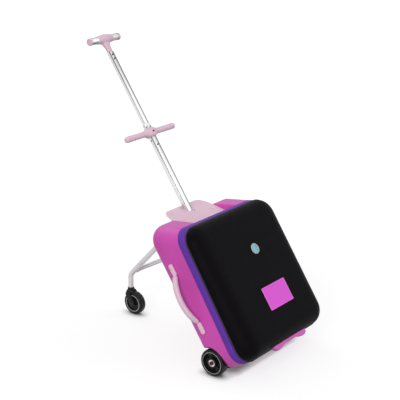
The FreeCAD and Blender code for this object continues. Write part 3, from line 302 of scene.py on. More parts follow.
def moulded(name, colour, roughness, grain=2200, height=0.00006, coat=0.0, drift=0.08, gloss=0.5):
    """Moulded plastic: fine grain bumps, scattered scuffs, and a tone that drifts over a hand's width."""
    finish, tree, shader = start_finish(name)
    place, base = add(tree, "TexCoord", {}, "Object"), np.array(colour)
    slow, fine = noise(tree, place, 9.0, 3.0), noise(tree, place, grain, 2.0)
    scuff = noise(tree, place, 160.0, 8.0, 0.7)
    toned(tree, shader, slow, 0.3, 0.7, base * (1 - drift), base * (1 + drift))
    grained = bumped(tree, shader, fine, 0.25, height)
    bumped(tree, shader, scuff, 0.06, height, grained)
    feed(tree, shader, {"Roughness": ranged(tree, scuff, 0.3, 0.7, roughness - 0.06, roughness + 0.08),
                        "Coat Weight": coat, "Coat Roughness": 0.25, "Specular IOR Level": gloss})
    return finish


shell_magenta = moulded("shell_magenta", (0.60, 0.078, 0.43), 0.38, gloss=0.22)
foot_magenta = moulded("foot_magenta", (0.68, 0.135, 0.52), 0.42, gloss=0.25)
pale_pink = moulded("pale_pink", (0.79, 0.56, 0.675), 0.44, drift=0.03, gloss=0.3)
soft_black = moulded("soft_black", (0.012, 0.012, 0.0125), 0.42, gloss=0.16)
wheel_black = moulded("wheel_black", (0.010, 0.010, 0.0105), 0.34, grain=900, gloss=0.14)
tyre_black = moulded("tyre_black", (0.011, 0.010, 0.011), 0.36, grain=700, height=0.0001, gloss=0.18)
ring_grey = moulded("ring_grey", (0.46, 0.45, 0.46), 0.34, drift=0.04)
badge_teal = moulded("badge_teal", (0.09, 0.43, 0.52), 0.22, coat=0.5)
print("moulded finishes ready")

# %% [markdown]
# ### Cloth
# The cover is a moulded foam board faced with fine black cloth, the band beside the zip is a ribbed purple
# tape, and the patch is a tight weave. Warp and weft are two waves that cross; where both are high a thread
# stands up. A little sheen gives the pale bloom that fine fibres have along their edges.

# %% Woven finishes
def woven(name, colour, pitch, height, sheen, roughness=0.85, rib=0.5, tint=(1, 1, 1), drift=0.25, gloss=0.25):
    """Cloth: two crossing waves of one thread pitch in metres, slubs of tone, and sheen for loose fibres."""
    finish, tree, shader = start_finish(name)
    place, base = add(tree, "TexCoord", {}, "UV"), np.array(colour)
    wave = {"Vector": place, "Scale": pi / (10 * pitch), "Distortion": 0.6, "Detail": 1.0}
    warp, weft = [add(tree, "TexWave", wave, "Fac", bands_direction=way) for way in "XY"]
    weave = add(tree, "Mix", {"Factor": rib, "A": warp, "B": weft}, "Result", data_type="FLOAT")
    slub = noise(tree, place.node.outputs["Object"], 60.0, 6.0, 0.65)
    blend = add(tree, "Mix", {"Factor": 0.5, "A": weave, "B": slub}, "Result", data_type="FLOAT")
    toned(tree, shader, blend, 0.25, 0.75, base * (1 - drift), base * (1 + drift))
    threads = bumped(tree, shader, weave, 0.45, height)
    bumped(tree, shader, slub, 0.12, height, threads)
    feed(tree, shader, {"Roughness": ranged(tree, slub, 0.3, 0.7, roughness - 0.08, roughness + 0.06),
                        "Sheen Weight": sheen, "Sheen Roughness": 0.4, "Sheen Tint": (*tint, 1),
                        "Specular IOR Level": gloss})
    return finish


cover_cloth = woven("cover_cloth", (0.003, 0.0024, 0.0034), 0.0009, 0.00012, 0.012, 0.55, gloss=0.035)
purple_tape = woven("purple_tape", (0.125, 0.036, 0.385), 0.0012, 0.0002, 0.12, rib=0.25, tint=(0.7, 0.6, 1.0))
patch_cloth = woven("patch_cloth", (0.80, 0.105, 0.72), 0.0007, 0.0001, 0.08, roughness=0.6, drift=0.1)
edge_cord = woven("edge_cord", (0.055, 0.05, 0.062), 0.0011, 0.00015, 0.05, gloss=0.1)
thread_pale = woven("thread_pale", (0.80, 0.42, 0.74), 0.0006, 0.0001, 0.1, roughness=0.6)
print("woven finishes ready")

# %% [markdown]
# ### Metal
# The pole and the folding leg are drawn aluminium with a satin skin. Drawing leaves hair lines along the
# tube, so the noise is squeezed across and stretched along the case. The flats of the pole are polished, and
# its corners get a painted shade, a grey tone; an attribute on the mesh says how much painted shade a point
# gets by how near it is to a corner. Screws and pins are turned steel.

# %% Drawn and turned metal
def drawn(name, colour, roughness, turn=(LEAN, 0, 0), stretch=(900, 900, 6), painted_shade=None):
    """Metal with hair lines: noise squeezed across and stretched, and a painted shade tone where "edge" is
    high.
    """
    finish, tree, shader = start_finish(name)
    place, base = add(tree, "TexCoord", {}, "Object"), np.array(colour)
    laid = add(tree, "Mapping", {"Vector": place, "Rotation": turn})
    lines = noise(tree, add(tree, "Mapping", {"Vector": laid, "Scale": stretch}), 1.0, 5.0, 0.6)
    if painted_shade:
        # Painted shade: the colour runs from the base to the darker given tone as the edge attribute rises.
        toned(tree, shader, add(tree, "Attribute", {}, "Fac", attribute_name="edge"), 0.05, 0.95, base, painted_shade)
    else:
        toned(tree, shader, noise(tree, place, 22.0, 4.0), 0.3, 0.7, base * 0.95, base * 1.04)
    bumped(tree, shader, lines, 0.08, 0.00003)
    rough = ranged(tree, lines, 0.3, 0.7, roughness - 0.05, roughness + 0.07)
    feed(tree, shader, {"Roughness": rough, "Metallic": 1.0})
    return finish


NO_TURN = (0, 0, 0)
# The pole's and the tee tube's second tones are painted shade, put on by the edge attribute.
pole_metal = drawn("pole_metal", (0.74, 0.74, 0.745), 0.30, stretch=(420, 420, 3), painted_shade=(0.19, 0.19, 0.195))
grip_metal = drawn("grip_metal", (0.78, 0.78, 0.78), 0.24, NO_TURN, (6, 900, 900), painted_shade=(0.27, 0.265, 0.27))
leg_metal = drawn("leg_metal", (0.60, 0.575, 0.595), 0.42)
turned_steel = drawn("turned_steel", (0.62, 0.61, 0.60), 0.28, NO_TURN, (300, 300, 300))
dark_steel = drawn("dark_steel", (0.045, 0.045, 0.05), 0.42, NO_TURN, (400, 400, 400))
axle_red = drawn("axle_red", (0.085, 0.022, 0.024), 0.34, NO_TURN, (300, 300, 300))
print("metal finishes ready")

# %% [markdown]
# ## Solids that keep their shape
# Tubes, pins, bearings and brackets already have the right form in the solid model. They only need their
# finishes, so each node's plain material is taken off and the new one put on.

# %% Dress the solids
DRESS = (
    (pale_pink, "pole_collar"),
    (soft_black, "sleeve_clamps wheel_arch_left wheel_arch_right lower_bush upper_bush stem_bush"),
    (soft_black, "release_button"),
    (wheel_black, "rim_left hub_left rim_right hub_right caster_hub"),
    (leg_metal, "pole_sleeve lower_ring arm_tube arm_eye brace_bar"),
    (turned_steel, "axle_nuts arm_hinge_pin bearings_left bearings_right brace_pin"),
    (dark_steel, "zip_slider zip_puller arm_bracket brace_rail leg_screws stop_rivet"),
    (dark_steel, "handlebar_screw neck_rivets caster_axle"),
    (axle_red, "axle_bolt_left axle_bolt_right"),
)
for finish, names in DRESS:
    for node_name in names.split():
        solid = frame["nodes"][node_name]
        solid.data.materials.clear()
        solid.data.materials.append(finish)
print("solids dressed:", sum(len(names.split()) for _, names in DRESS))

# %% [markdown]
# ## The hard shell
# A moulded shell has no knife edges. Its form is right in the solid model, so a copy of that mesh is merged
# and only the edges of the ears that stand out above the seat are rounded. The rim of the mouth stays crisp,
# because the purple band is clamped to it.

# %% Softened shell
RAMP_LEVEL, RAMP_SLOPE, RAMP_END = 316.0, 1.06, 40.0
FRONT_LEVEL, FRONT_SLOPE, FRONT_START = 309.0, 0.31, 56.0
EAR_ROUNDING, EAR_ANGLE, EAR_CLEAR, EAR_REACH = 0.0045, 28.0, 5.0, 65.0
MERGE_GAP, FLAT_ANGLE, SHELL_SHARP = 1e-5, 0.6, 30.0


def ramp_level(forward):
    """Height of the seat's ramp: a straight line that falls forwards."""
    return RAMP_LEVEL + RAMP_SLOPE * (RAMP_END - forward)


work = bmesh.new()
work.from_mesh(frame["nodes"]["rear_shell"].data)
bmesh.ops.remove_doubles(work, verts=work.verts, dist=MERGE_GAP)
bmesh.ops.dissolve_limit(work, angle_limit=radians(FLAT_ANGLE), verts=work.verts, edges=work.edges)
broad = []
for edge in work.edges:
    middle = np.array((edge.verts[0].co + edge.verts[1].co) / 2) - AXLE
    forward, up = middle @ FORWARD * 1000, middle @ UP * 1000
    reach = forward * cos(TAPER) - up * sin(TAPER)
    on_ear = up > EAR_CLEAR + max(ramp_level(forward), FRONT_LEVEL) and reach < EAR_REACH
    if on_ear and edge.is_manifold and edge.calc_face_angle_signed() > radians(EAR_ANGLE):
        broad.append(edge)
bmesh.ops.bevel(work, geom=broad, offset=EAR_ROUNDING, offset_type="OFFSET", segments=7, profile=0.5,
                affect="EDGES", clamp_overlap=False)
mesh = bpy.data.meshes.new("hard_shell")
work.to_mesh(mesh)
work.free()
shell = settle("hard_shell", mesh, SHELL_SHARP, shell_magenta, "case", ["rear_shell"])
shell.modifiers.new("even_shading", "WEIGHTED_NORMAL").keep_sharp = True
print(f"hard_shell: {len(broad)} edges rounded, {len(mesh.polygons)} faces")

# %% [markdown]
# ## The soft front cover
# The cover is a foam board pressed into a shallow tray and faced with cloth. Its sides leave the zip square
# on and round over into a flat face, like a quarter of an ellipse. Each row of the grid is a rounded
# rectangle, drawn in by one minus a cosine while it moves forward by a sine. The inside repeats it, one
# wall in, so the tray is closed and shows its lining when it is opened.

# %% Cover surface
COVER_GAP, COVER_ROUND, COVER_WALL, FACE_CORNER = 0.8, 44.0, 3.5, 8.0
COVER_DEPTH = COVER_END - COVER_START


def cover_rows(inset, rows=26, rings=16):
    """Rows from the rim to the middle: a quarter ellipse in profile, then shrinking rings on the flat face."""
    turn = np.r_[np.linspace(0, pi / 2, rows), np.full(rings, pi / 2)]
    shrink = np.r_[np.zeros(rows), np.linspace(1 / rings, 1, rings) ** 0.8]
    drawn_in = COVER_GAP + inset + COVER_ROUND * (1 - np.cos(turn))
    share = drawn_in / (COVER_GAP + COVER_ROUND + inset)
    corner = (CASE_CORNER - inset + (FACE_CORNER - CASE_CORNER) * share) * (1 - shrink)
    half = (CASE_HALF - drawn_in) * (1 - shrink)
    low, high = drawn_in - CASE_DROP, ZIP_HEIGHT - drawn_in
    middle = (low + high) / 2
    low, high = low + (middle - low) * shrink, high + (middle - high) * shrink
    loop = rounded_loop(half, low, high, corner)
    forward = np.sin(turn)[:, None]
    start = COVER_START + (COVER_DEPTH - inset) * forward
    reach, rise = tilted(start, loop[..., 1], 0.0, TAPER * forward)
    return mouth_place(loop[..., 0], reach, rise)


tray = np.r_[cover_rows(0.0)[::-1], cover_rows(COVER_WALL)]
cover = make_piece("cover_board", [tray], cover_cloth, "cover", ["front_cover"])

# %% [markdown]
# ## Piping, purple band and zip
# A thin piping finishes the cover's edge. Beside it runs the zip, and then a purple band of tape that lets
# the case grow a little. The band is a ring with a slight outward belly; at the top it slopes down from the
# shell to the zip, so it shows from the front. No cloth simulation is used for it, because a band that is
# sewn tight on both sides has no slack to fall.

# %% Piping and purple band
PIPE_INSET, PIPE_WIDE, PIPE_DEEP, PIPE_REACH = 0.2, 1.1, 1.3, 1.2
BAND_START, BAND_DEPTH, BAND_EDGE, BAND_BELLY, BAND_INSIDE = 67.2, 19.6, 0.9, 1.5, 2.0


def mouth_loop(inset, top=ZIP_HEIGHT, corner=12, straight=14):
    """The outline of the mouth, drawn in all round."""
    low, high = inset - CASE_DROP, top - inset
    return rounded_loop(CASE_HALF - inset, low, high, CASE_CORNER - inset, corner, straight)


def outline_path(inset, count, top=ZIP_HEIGHT):
    """Evenly spaced places and sideways directions round the zip: arc length read back from a fine loop."""
    fine = mouth_loop(inset, top, 60, 80)
    stride = np.linalg.norm(np.roll(fine, -1, 0) - fine, axis=1)
    run = np.r_[0, np.cumsum(stride)]
    closed = np.r_[fine, fine[:1]]
    at = np.linspace(0, run[-1], count, endpoint=False)
    place = np.stack([np.interp(at, run, closed[:, axis]) for axis in (0, 1)], -1)
    ahead = unit(np.roll(place, -1, 0) - np.roll(place, 1, 0))
    return place, ahead, np.stack([ahead[:, 1], -ahead[:, 0]], -1), run[-1]


place, _, outward, around = outline_path(PIPE_INSET, 420)
angle = round_turn(12)
tube = place[:, None] + outward[:, None] * PIPE_WIDE * np.cos(angle)[None, :, None]
piping = mouth_place(tube[..., 0], COVER_START + PIPE_REACH + PIPE_DEEP * np.sin(angle)[None, :], tube[..., 1])
make_piece("cover_edge_cord", [], edge_cord, "cover", ["cover_piping"], rings=[piping])

belly = np.linspace(0, 1, 9)
inset = np.r_[BAND_EDGE - BAND_BELLY * np.sin(pi * belly) ** 0.8, np.full(9, BAND_INSIDE)]
out_and_back = np.r_[belly, belly[::-1]]
loop = mouth_loop(inset, MOUTH_HEIGHT + (ZIP_HEIGHT - MOUTH_HEIGHT) * out_and_back)
band = mouth_place(loop[..., 0], (BAND_START + BAND_DEPTH * out_and_back)[:, None], loop[..., 1])
purple_band = make_piece("purple_band", [], purple_tape, "case", ["zip_gusset"], rings=[band])

# %% [markdown]
# The zip's teeth sit on a narrow dark tape. One small squared globe is repeated along the outline, with few
# faces, because there are hundreds of them; the whole row is one array operation.

# %% Zip teeth and stitches
TOOTH_COUNT, TOOTH_INSET, TOOTH_LINES, TOOTH_SIZE = 560, 2.2, (88.75, 88.05), (0.0008, 0.0011, 0.0011)
SEAM_COUNT, SEAM_INSET, SEAM_REACH, SEAM_SHARE = 300, 0.15, 84.2, 0.86
SEAM_SIZE = (0.0014, 0.0003, 0.00035)


def beads(centres, ahead, outward, fore, sizes, power=0.6):
    """Repeats one small squared globe, sized along three directions at each place."""
    ways = np.stack([ahead, outward, fore], 1)[:, None]
    return list(centres[:, None, None] + globe(5, 8, power) * sizes @ ways)


def on_mouth(reach, inset, count, top=ZIP_HEIGHT):
    """Places on the mouth's board along its outline, with the ahead, outward and forward directions there."""
    place, *ways, _ = outline_path(inset, count, top)
    origin = mouth_place(0.0, 0.0, 0.0)
    ahead, outward = [unit(mouth_place(way[:, 0], 0.0, way[:, 1]) - origin) for way in ways]
    return mouth_place(place[:, 0], reach, place[:, 1]), ahead, outward, np.cross(outward, ahead)


tooth_reach = np.where(np.arange(TOOTH_COUNT) % 2, *TOOTH_LINES)
teeth = beads(*on_mouth(tooth_reach, TOOTH_INSET, TOOTH_COUNT), TOOTH_SIZE)
tape_inset, tape_reach = np.array([3.2, 3.2, 4.2, 4.2]), np.array([87.2, 89.6, 89.6, 87.2])
loop = mouth_loop(tape_inset)
tape = mouth_place(loop[..., 0], tape_reach[:, None], loop[..., 1])
zip_coil = moulded("zip_coil", (0.05, 0.05, 0.055), 0.30)
make_piece("zip_teeth", teeth, zip_coil, "case", ["zip_chain"], rings=[tape])

seam_top = MOUTH_HEIGHT + SEAM_SHARE * (ZIP_HEIGHT - MOUTH_HEIGHT)
seam = beads(*on_mouth(SEAM_REACH, SEAM_INSET, SEAM_COUNT, seam_top), SEAM_SIZE, power=0.9)
thread_violet = woven("thread_violet", (0.20, 0.08, 0.46), 0.0006, 0.0001, 0.1, roughness=0.6)
make_piece("band_stitches", seam, thread_violet, "case")

# %% [markdown]
# A strip of the same tape under the bottom edge is the cover's hinge. It lies flat while the case is shut,
# so it is made as a thin sheet with rounded edges.

# %% Hinge strip
STRIP_HALF, STRIP_MIDDLE, STRIP_DEEP, STRIP_LIFT, STRIP_THICK = 118.0, 80.5, 8.8, 0.05, 0.45
across = np.linspace(-STRIP_HALF, STRIP_HALF, 60)[:, None]
section = round_turn(24)
ends = np.where(np.abs(across) > STRIP_HALF - 0.1, 0.0, 1.0)
strip = mouth_place(across + 0 * section, STRIP_MIDDLE + STRIP_DEEP * squared(np.cos(section), 0.4) * ends,
                    STRIP_LIFT - CASE_DROP + STRIP_THICK * np.sin(section) * ends)
hinge_tape = make_piece("hinge_tape", [strip], purple_tape, "case", ["hinge_strip"])

# %% [markdown]
# ## The seat plate
# The child sits on a pale shield between the two ears. Its top is a ramp that turns up gently at the front:
# the smooth maximum of two straight lines. The grid runs as a ring round the pole's slot, from the slot's
# edge out over the top, round the rim and back underneath, so the plate is closed and the pole is free.

# %% Seat plate
SEAT_BACK, SEAT_FRONT, SEAT_HALF, SEAT_CORNER, SEAT_SOFT = -12.5, 58.5, 80.0, 20.0, 3.0
HALF_BACK, HALF_FRONT = 74.6, 86.4
SLOT_HALF, SLOT_DEEP, SLOT_CORNER = 13.9, 10.4, 5.0
PLATE_GAP, PLATE_THICK, PLATE_ROLL, PLATE_CREST = 0.35, 6.4, 2.6, 0.5
slot_loop = rounded_loop(SLOT_HALF, POLE_LINE - SLOT_DEEP, POLE_LINE + SLOT_DEEP, SLOT_CORNER)
slot_x, slot_w = np.moveaxis(slot_loop, -1, 0)
out = np.r_[np.linspace(0, 1, 14), np.ones(12), np.linspace(1, 0, 6)]
bend = np.r_[np.zeros(14), np.linspace(0, pi, 12), np.full(6, pi)]
roll = PLATE_ROLL * (1 - np.sin(bend))
rim = rounded_loop(SEAT_HALF - roll, SEAT_BACK + roll, SEAT_FRONT - roll, SEAT_CORNER - roll * 0.6)
rim_x, rim_w = np.moveaxis(rim, -1, 0)
widen = HALF_BACK + (HALF_FRONT - HALF_BACK) * (rim_w - SEAT_BACK) / (SEAT_FRONT - SEAT_BACK)
rim_x = rim_x * widen / SEAT_HALF
plate_x = slot_x + (rim_x - slot_x) * out[:, None]
plate_w = slot_w + (rim_w - slot_w) * out[:, None]
crest = PLATE_CREST * np.exp(-((1 - out) / 0.1) ** 2)
thick = PLATE_GAP + (PLATE_THICK + crest) * (1 + np.cos(bend)) / 2
front = FRONT_LEVEL + FRONT_SLOPE * (plate_w - FRONT_START)
level = SEAT_SOFT * np.logaddexp(ramp_level(plate_w) / SEAT_SOFT, front / SEAT_SOFT)
plate = case_place(plate_x, plate_w, level + thick[:, None])
make_piece("seat_shield", [], pale_pink, "case", ["seat_plate"], rings=[plate])

# %% [markdown]
# A low pink cap hides each screw of the seat and of the carry handle.

# %% Screw caps
CAP_ALONG, CAP_RADIUS, HEAD_SPREAD = [-1, -1, -0.6, -0.35, -0.25], [0, 3, 2.9, 2.2, 0], 20.0


def screw_caps(name, node_name, axis):
    """A low cap on each screw head of a solid: heads are told apart by their side of the middle."""
    heads = bench_place(frame["nodes"][node_name])
    beyond = heads > heads.mean(0)
    apart = beyond @ np.array([1, 2, 0]) if np.ptp(heads[:, 0]) > HEAD_SPREAD else beyond[:, 2]
    centres = [case_place(*heads[apart == group].mean(0)) for group in np.unique(apart)]
    caps = [turned(centre, CAP_ALONG, CAP_RADIUS, axis, 40) for centre in centres]
    make_piece(name, caps, pale_pink, "case", [node_name])


screw_caps("seat_caps", "seat_screws", unit(RAMP_SLOPE * FORWARD + UP))
screw_caps("handle_caps", "handle_screws", -ACROSS)

# %% [markdown]
# ## The carry handle
# A bowed grip on two rounded pads is screwed to the left wall. The grip is an oval carried along an arc,
# narrower in the middle where the hand closes. Each pad is a pillow: a globe squared off towards a block.

# %% Side handle
HANDLE_LINE, GRIP_OUT, PAD_OUT = 28.0, 3.8, 3.2
GRIP_HIGH, GRIP_LOW, GRIP_BOW, PAD_PLACES = 224.0, 100.0, 21.3, (238.0, 86.0)
GRIP_WIDE, GRIP_THIN, GRIP_FLESH = 0.0075, 0.0040, 0.0024
PAD_SIZES = FORWARD * 0.0062, UP * 0.0152, ACROSS * -0.0029


def pillow(centre, first, second, third, power):
    """A globe squared off by a power, sized and turned by three direction vectors."""
    return centre + globe(22, 40, power) @ np.stack([first, second, third])


share = np.linspace(0, 1, 64)
swing = np.sin(pi * share)
up = GRIP_HIGH + (GRIP_LOW - GRIP_HIGH) * share
spread = (GRIP_HIGH - GRIP_LOW) / 2
arc_radius = (spread ** 2 + GRIP_BOW ** 2) / (2 * GRIP_BOW)
out_by = np.sqrt(arc_radius ** 2 - (up - (GRIP_HIGH + GRIP_LOW) / 2) ** 2) - (arc_radius - GRIP_BOW)
path = case_place(-CASE_HALF - GRIP_OUT - out_by, HANDLE_LINE, up)
along = unit(np.gradient(path, axis=0))
wide = np.broadcast_to(FORWARD, along.shape)
ends = np.minimum(1, swing * 9 + 1e-3) ** 0.35
hold = GRIP_WIDE * (1 - 0.10 * swing ** 2)
flesh = GRIP_THIN + GRIP_FLESH * smooth_step(swing, 0.0, 0.6)
grip = carried(path, wide, np.cross(along, wide), hold * ends, flesh * ends, power=0.85)
pads = [pillow(case_place(-CASE_HALF - PAD_OUT, HANDLE_LINE, up), *PAD_SIZES, 0.45) for up in PAD_PLACES]
make_piece("carry_grip", [grip] + pads, pale_pink, "case", ["side_handle"])

# %% [markdown]
# ## The pole's tubes
# Both stages are tubes with a rounded rectangular section. Each is a grid of six section lines: outside from
# the foot to the head, with both ends slightly chamfered, then inside back down. The edge attribute, which
# sets the metal's painted shade, is a bell curve of the distance to the nearest corner of the section,
# broader at the front right corner, so that side of the tube is painted darker.

# %% Pole tubes
TUBE_WALL, TUBE_CHAMFER, CHAMFER_LONG = 1.2, 0.3, 0.5
SHADE_BROAD, SHADE_NARROW, EDGE_IN = 9.0, 1.8, 0.3
PIN_HEIGHT, PIN_ALONG, PIN_RADIUS = 555.0, [-0.5, -0.5, 0.3, 0.5], [0, 2, 1.8, 0]


def mark_edges(piece, painted_shade):
    """Keeps how much painted shade each vertex gets, from 0 to 1, as the attribute the metal reads."""
    piece.data.attributes.new("edge", "FLOAT", "POINT").data.foreach_set("value", np.asarray(painted_shade, np.float32))


def pole_tube(name, half, deep, corner, foot, head, body, node_name):
    """A rounded rectangular tube along the pole's line, from its foot to its head."""
    up = np.array([foot, foot + CHAMFER_LONG, head - CHAMFER_LONG, head, head, foot])
    inset = np.array([TUBE_CHAMFER, 0, 0, TUBE_CHAMFER, TUBE_WALL, TUBE_WALL])
    loop = rounded_loop(half - inset, inset - deep, deep - inset, corner - inset, 10, 6)
    rows = case_place(loop[..., 0], POLE_LINE + loop[..., 1], up[:, None])
    tube = make_piece(name, [], pole_metal, body, [node_name], rings=[rows])
    across, forward, _ = (bench_place(tube) - [0, POLE_LINE, 0]).T
    inside = corner * EDGE_IN
    near = np.hypot(np.abs(across) - half + inside, np.abs(forward) - deep + inside)
    # Painted shade: a broad grey band at the front right corner darkens that side; the other corners get
    # narrow grey lines.
    spread = np.where((across > 0) & (forward > 0), SHADE_BROAD, SHADE_NARROW)
    mark_edges(tube, np.exp(-(near / spread) ** 2))


LOWER_HALF = 10.0
pin = turned(case_place(-LOWER_HALF, POLE_LINE, PIN_HEIGHT), PIN_ALONG, PIN_RADIUS, -ACROSS, 32)
make_piece("side_pin", [pin], dark_steel, "pole_lower")
pole_tube("pole_outer", LOWER_HALF, 6.5, 4.0, 282.0, 593.0, "pole_lower", "lower_tube")
pole_tube("pole_inner", 8.5, 5.0, 2.5, 533.0, 805.0, "pole_upper", "upper_tube")

# %% [markdown]
# ## The child's cross bar
# The bar is one moulding: two straight grips that swell into a collar round the pole. The grips are a turned
# profile with round ends and a slow flare, and the collar is a pillow.

# %% Cross bar
BAR_HEIGHT, BAR_HALF, BAR_END, BAR_RADIUS, BAR_FLARE, BAR_TIP = 576.0, 94.0, 8.0, 7.8, 2.6, 0.2
COLLAR_SIZES = ACROSS * 0.0158, FORWARD * 0.0128, UP * 0.0128


def rounded_span(half, ending, corner, count):
    """Places across a bar with round ends: even steps, then steps that shrink as on a quarter circle."""
    turn, straight = np.linspace(0, pi / 2, corner), half - ending
    return np.r_[-half + ending * (1 - np.cos(turn)), np.linspace(1 - straight, straight - 1, count),
                 straight + ending * np.sin(turn)]


bar_middle = case_place(0.0, POLE_LINE, BAR_HEIGHT)
across = rounded_span(BAR_HALF, BAR_END, 12, 90)
off = np.abs(across)
round_end = np.sqrt(np.clip(1 - (np.clip(off - BAR_HALF + BAR_END, 0, None) / BAR_END) ** 2, 0, 1))
radius = BAR_RADIUS + BAR_FLARE * (1 - smooth_step(off, 15, 26)) + BAR_TIP * smooth_step(off, 40, 84)
bar = turned(bar_middle, across, radius * round_end, steps=48)
bar_tubes = [bar, pillow(bar_middle, *COLLAR_SIZES, 0.55)]
make_piece("cross_bar", bar_tubes, pale_pink, "pole_lower", ["child_handlebar"])

# %% [markdown]
# ## The T grip
# At the top, a pink hub swells round a bright cross tube and narrows into a neck that plugs into the pole.
# The barrel is a turned profile. The neck is a stack of rounded rectangles that starts as wide as the
# barrel and closes, on a curve that is steep at first, to just under the tube's size.

# %% Hub, neck and caps
TEE_HEIGHT, TEE_HALF, TEE_RADIUS, TEE_BORE = 842.0, 49.0, 9.0, 7.8
HUB_HALF, HUB_RADIUS, HUB_SWELL = 27.0, 9.9, 3.1
NECK_START, NECK_LENGTH, NECK_HALF, NECK_DEEP, NECK_CORNER = 3.0, 33.6, 7.9, 4.4, 3.4
NECK_FLARES = 8.5, 5.5, 5.0
CAP_START, CAP_DOME, CAP_END, CAP_RIM, CAP_FACE = 49.2, 52.6, 55.0, 9.35, 6.9


def capped(rows):
    """Closes a stack of rings with a point at the middle of its first and last ring."""
    middle = rows.mean(1, keepdims=True)
    return np.r_[middle[:1] + 0 * rows[:1], rows, middle[-1:] + 0 * rows[:1]]


tee_middle = case_place(0.0, POLE_LINE, TEE_HEIGHT)
across = np.linspace(-HUB_HALF, HUB_HALF, 70)
swell = HUB_RADIUS + HUB_SWELL * np.abs(np.cos(pi * across / (2 * HUB_HALF))) ** 1.4
swell[[0, -1]] = TEE_RADIUS
barrel = turned(tee_middle, np.pad(across, 1, "edge"), np.pad(swell, 1), steps=56)
drop = np.linspace(0, 1, 20)
flare_half, flare_deep, flare_corner = [flare * (1 - drop) ** 2.2 for flare in NECK_FLARES]
deep = NECK_DEEP + flare_deep
neck_loop = rounded_loop(NECK_HALF + flare_half, -deep, deep, NECK_CORNER + flare_corner, 6, 3)
neck_up = TEE_HEIGHT - NECK_START - NECK_LENGTH * drop[:, None]
neck = case_place(neck_loop[..., 0], POLE_LINE + neck_loop[..., 1], neck_up)
make_piece("tee_swell", [barrel, capped(neck)], pale_pink, "pole_upper", ["tee_hub"])
tee_along = [-TEE_HALF, 0.4 - TEE_HALF, TEE_HALF - 0.4, TEE_HALF, TEE_HALF, -TEE_HALF]
tee_out = [TEE_RADIUS - 0.3, TEE_RADIUS, TEE_RADIUS, TEE_RADIUS - 0.3, TEE_BORE, TEE_BORE]
tee_rows = turned(tee_middle, tee_along, tee_out, steps=64)
tee_bar = make_piece("tee_bar", [], grip_metal, "pole_upper", ["tee_tube"], rings=[tee_rows])
# Painted shade: the tee tube turns grey towards its top and bottom and stays bright at the front and back.
mark_edges(tee_bar, smooth_step(np.abs(bench_place(tee_bar)[:, 2] - TEE_HEIGHT), 2.6, 7.2))
dome = np.linspace(0, pi / 2, 10)
length = np.r_[CAP_START, CAP_START, CAP_DOME + (CAP_END - CAP_DOME) * np.sin(dome), CAP_END]
cap = np.r_[0, CAP_RIM, CAP_FACE + (CAP_RIM - CAP_FACE) * np.cos(dome), 0]
for name, side in SIDES:
    end = turned(tee_middle, side * length, cap, steps=48)
    make_piece(f"tee_end_{name}", [end], pale_pink, "pole_upper", [f"tee_cap_{name}"])

# %% [markdown]
# ## Wheels
# The rear wheels have broad rubber tyres with round shoulders. A tyre is a turned profile: a squared-off
# oval over the tread, with two fine grooves. The swivelling wheel has the same tyre, and a pale ring on both
# faces.

# %% Tyres
WHEEL_MIDDLE, WHEEL_TYRE, CASTER_TYRE = 0.151, (34.0, 24.0, 27.6), (31.0, 19.0, 23.1)
GROOVE_SHARE, GROOVE_WIDE, GROOVE_DEEP = 0.22, 0.5, 0.35
RING_FACE, RING_RADIUS = np.array([11.6, 12.25, 12.25, 11.6]), [27.3, 27.1, 26.2, 26.0]
GUARD_FACE, GUARD_RADIUS = np.array([11.7, 12.3, 12.3, 11.7]), [13.0, 12.7, 8.9, 8.6]
SWIVEL_FACE, SWIVEL_RADIUS = np.array([9.3, 9.75, 9.75, 9.3]), [23.2, 23.0, 21.6, 21.4]


def tyre_rows(radius, width, rim, count=64):
    """Half an oval over the tread, squared by a power, with two fine grooves, closed along the rim."""
    turn = np.linspace(0, pi, count)
    along = -width / 2 * squared(np.cos(turn), 0.55)
    rise = np.sin(turn) ** 0.42
    groove = sum(np.exp(-((along - side * GROOVE_SHARE * width) / GROOVE_WIDE) ** 2) for side in (1, -1))
    out = rim + (radius - rim) * rise - GROOVE_DEEP * groove * (rise > 0.97)
    return np.pad(along, 1, "edge"), np.pad(out, 1, constant_values=rim)


for name, side in SIDES:
    middle, body = AXLE + ACROSS * side * WHEEL_MIDDLE, f"wheel_{name}"
    tyre = turned(middle, *tyre_rows(*WHEEL_TYRE), steps=120)
    make_piece(f"road_tyre_{name}", [], tyre_black, body, [f"tyre_{name}"], rings=[tyre])
    thin_ring = turned(middle, side * RING_FACE, RING_RADIUS, steps=110)
    make_piece(f"pale_ring_{name}", [], ring_grey, body, rings=[thin_ring])
    guard = turned(middle, side * GUARD_FACE, GUARD_RADIUS, steps=64)
    make_piece(f"bearing_guard_{name}", [], wheel_black, body, rings=[guard])
caster_middle = np.array(joints["caster_roll"]["pos_m"])
tyre = turned(caster_middle, *tyre_rows(*CASTER_TYRE), steps=110)
make_piece("swivel_tyre", [], tyre_black, "caster_wheel", ["caster_tyre"], rings=[tyre])
rings = [turned(caster_middle, side * SWIVEL_FACE, SWIVEL_RADIUS, steps=96) for _, side in SIDES]
make_piece("swivel_ring", [], ring_grey, "caster_wheel", rings=rings)

# %% [markdown]
# ## The caster's fork
# A round socket stands on two cheeks that slant back to the axle. Each cheek is a plate with the outline
# of a belt round two circles: the convex curve is sampled by direction, taking whichever circle reaches
# further that way. The plate's edges are drawn in at both faces so that they catch a soft light.

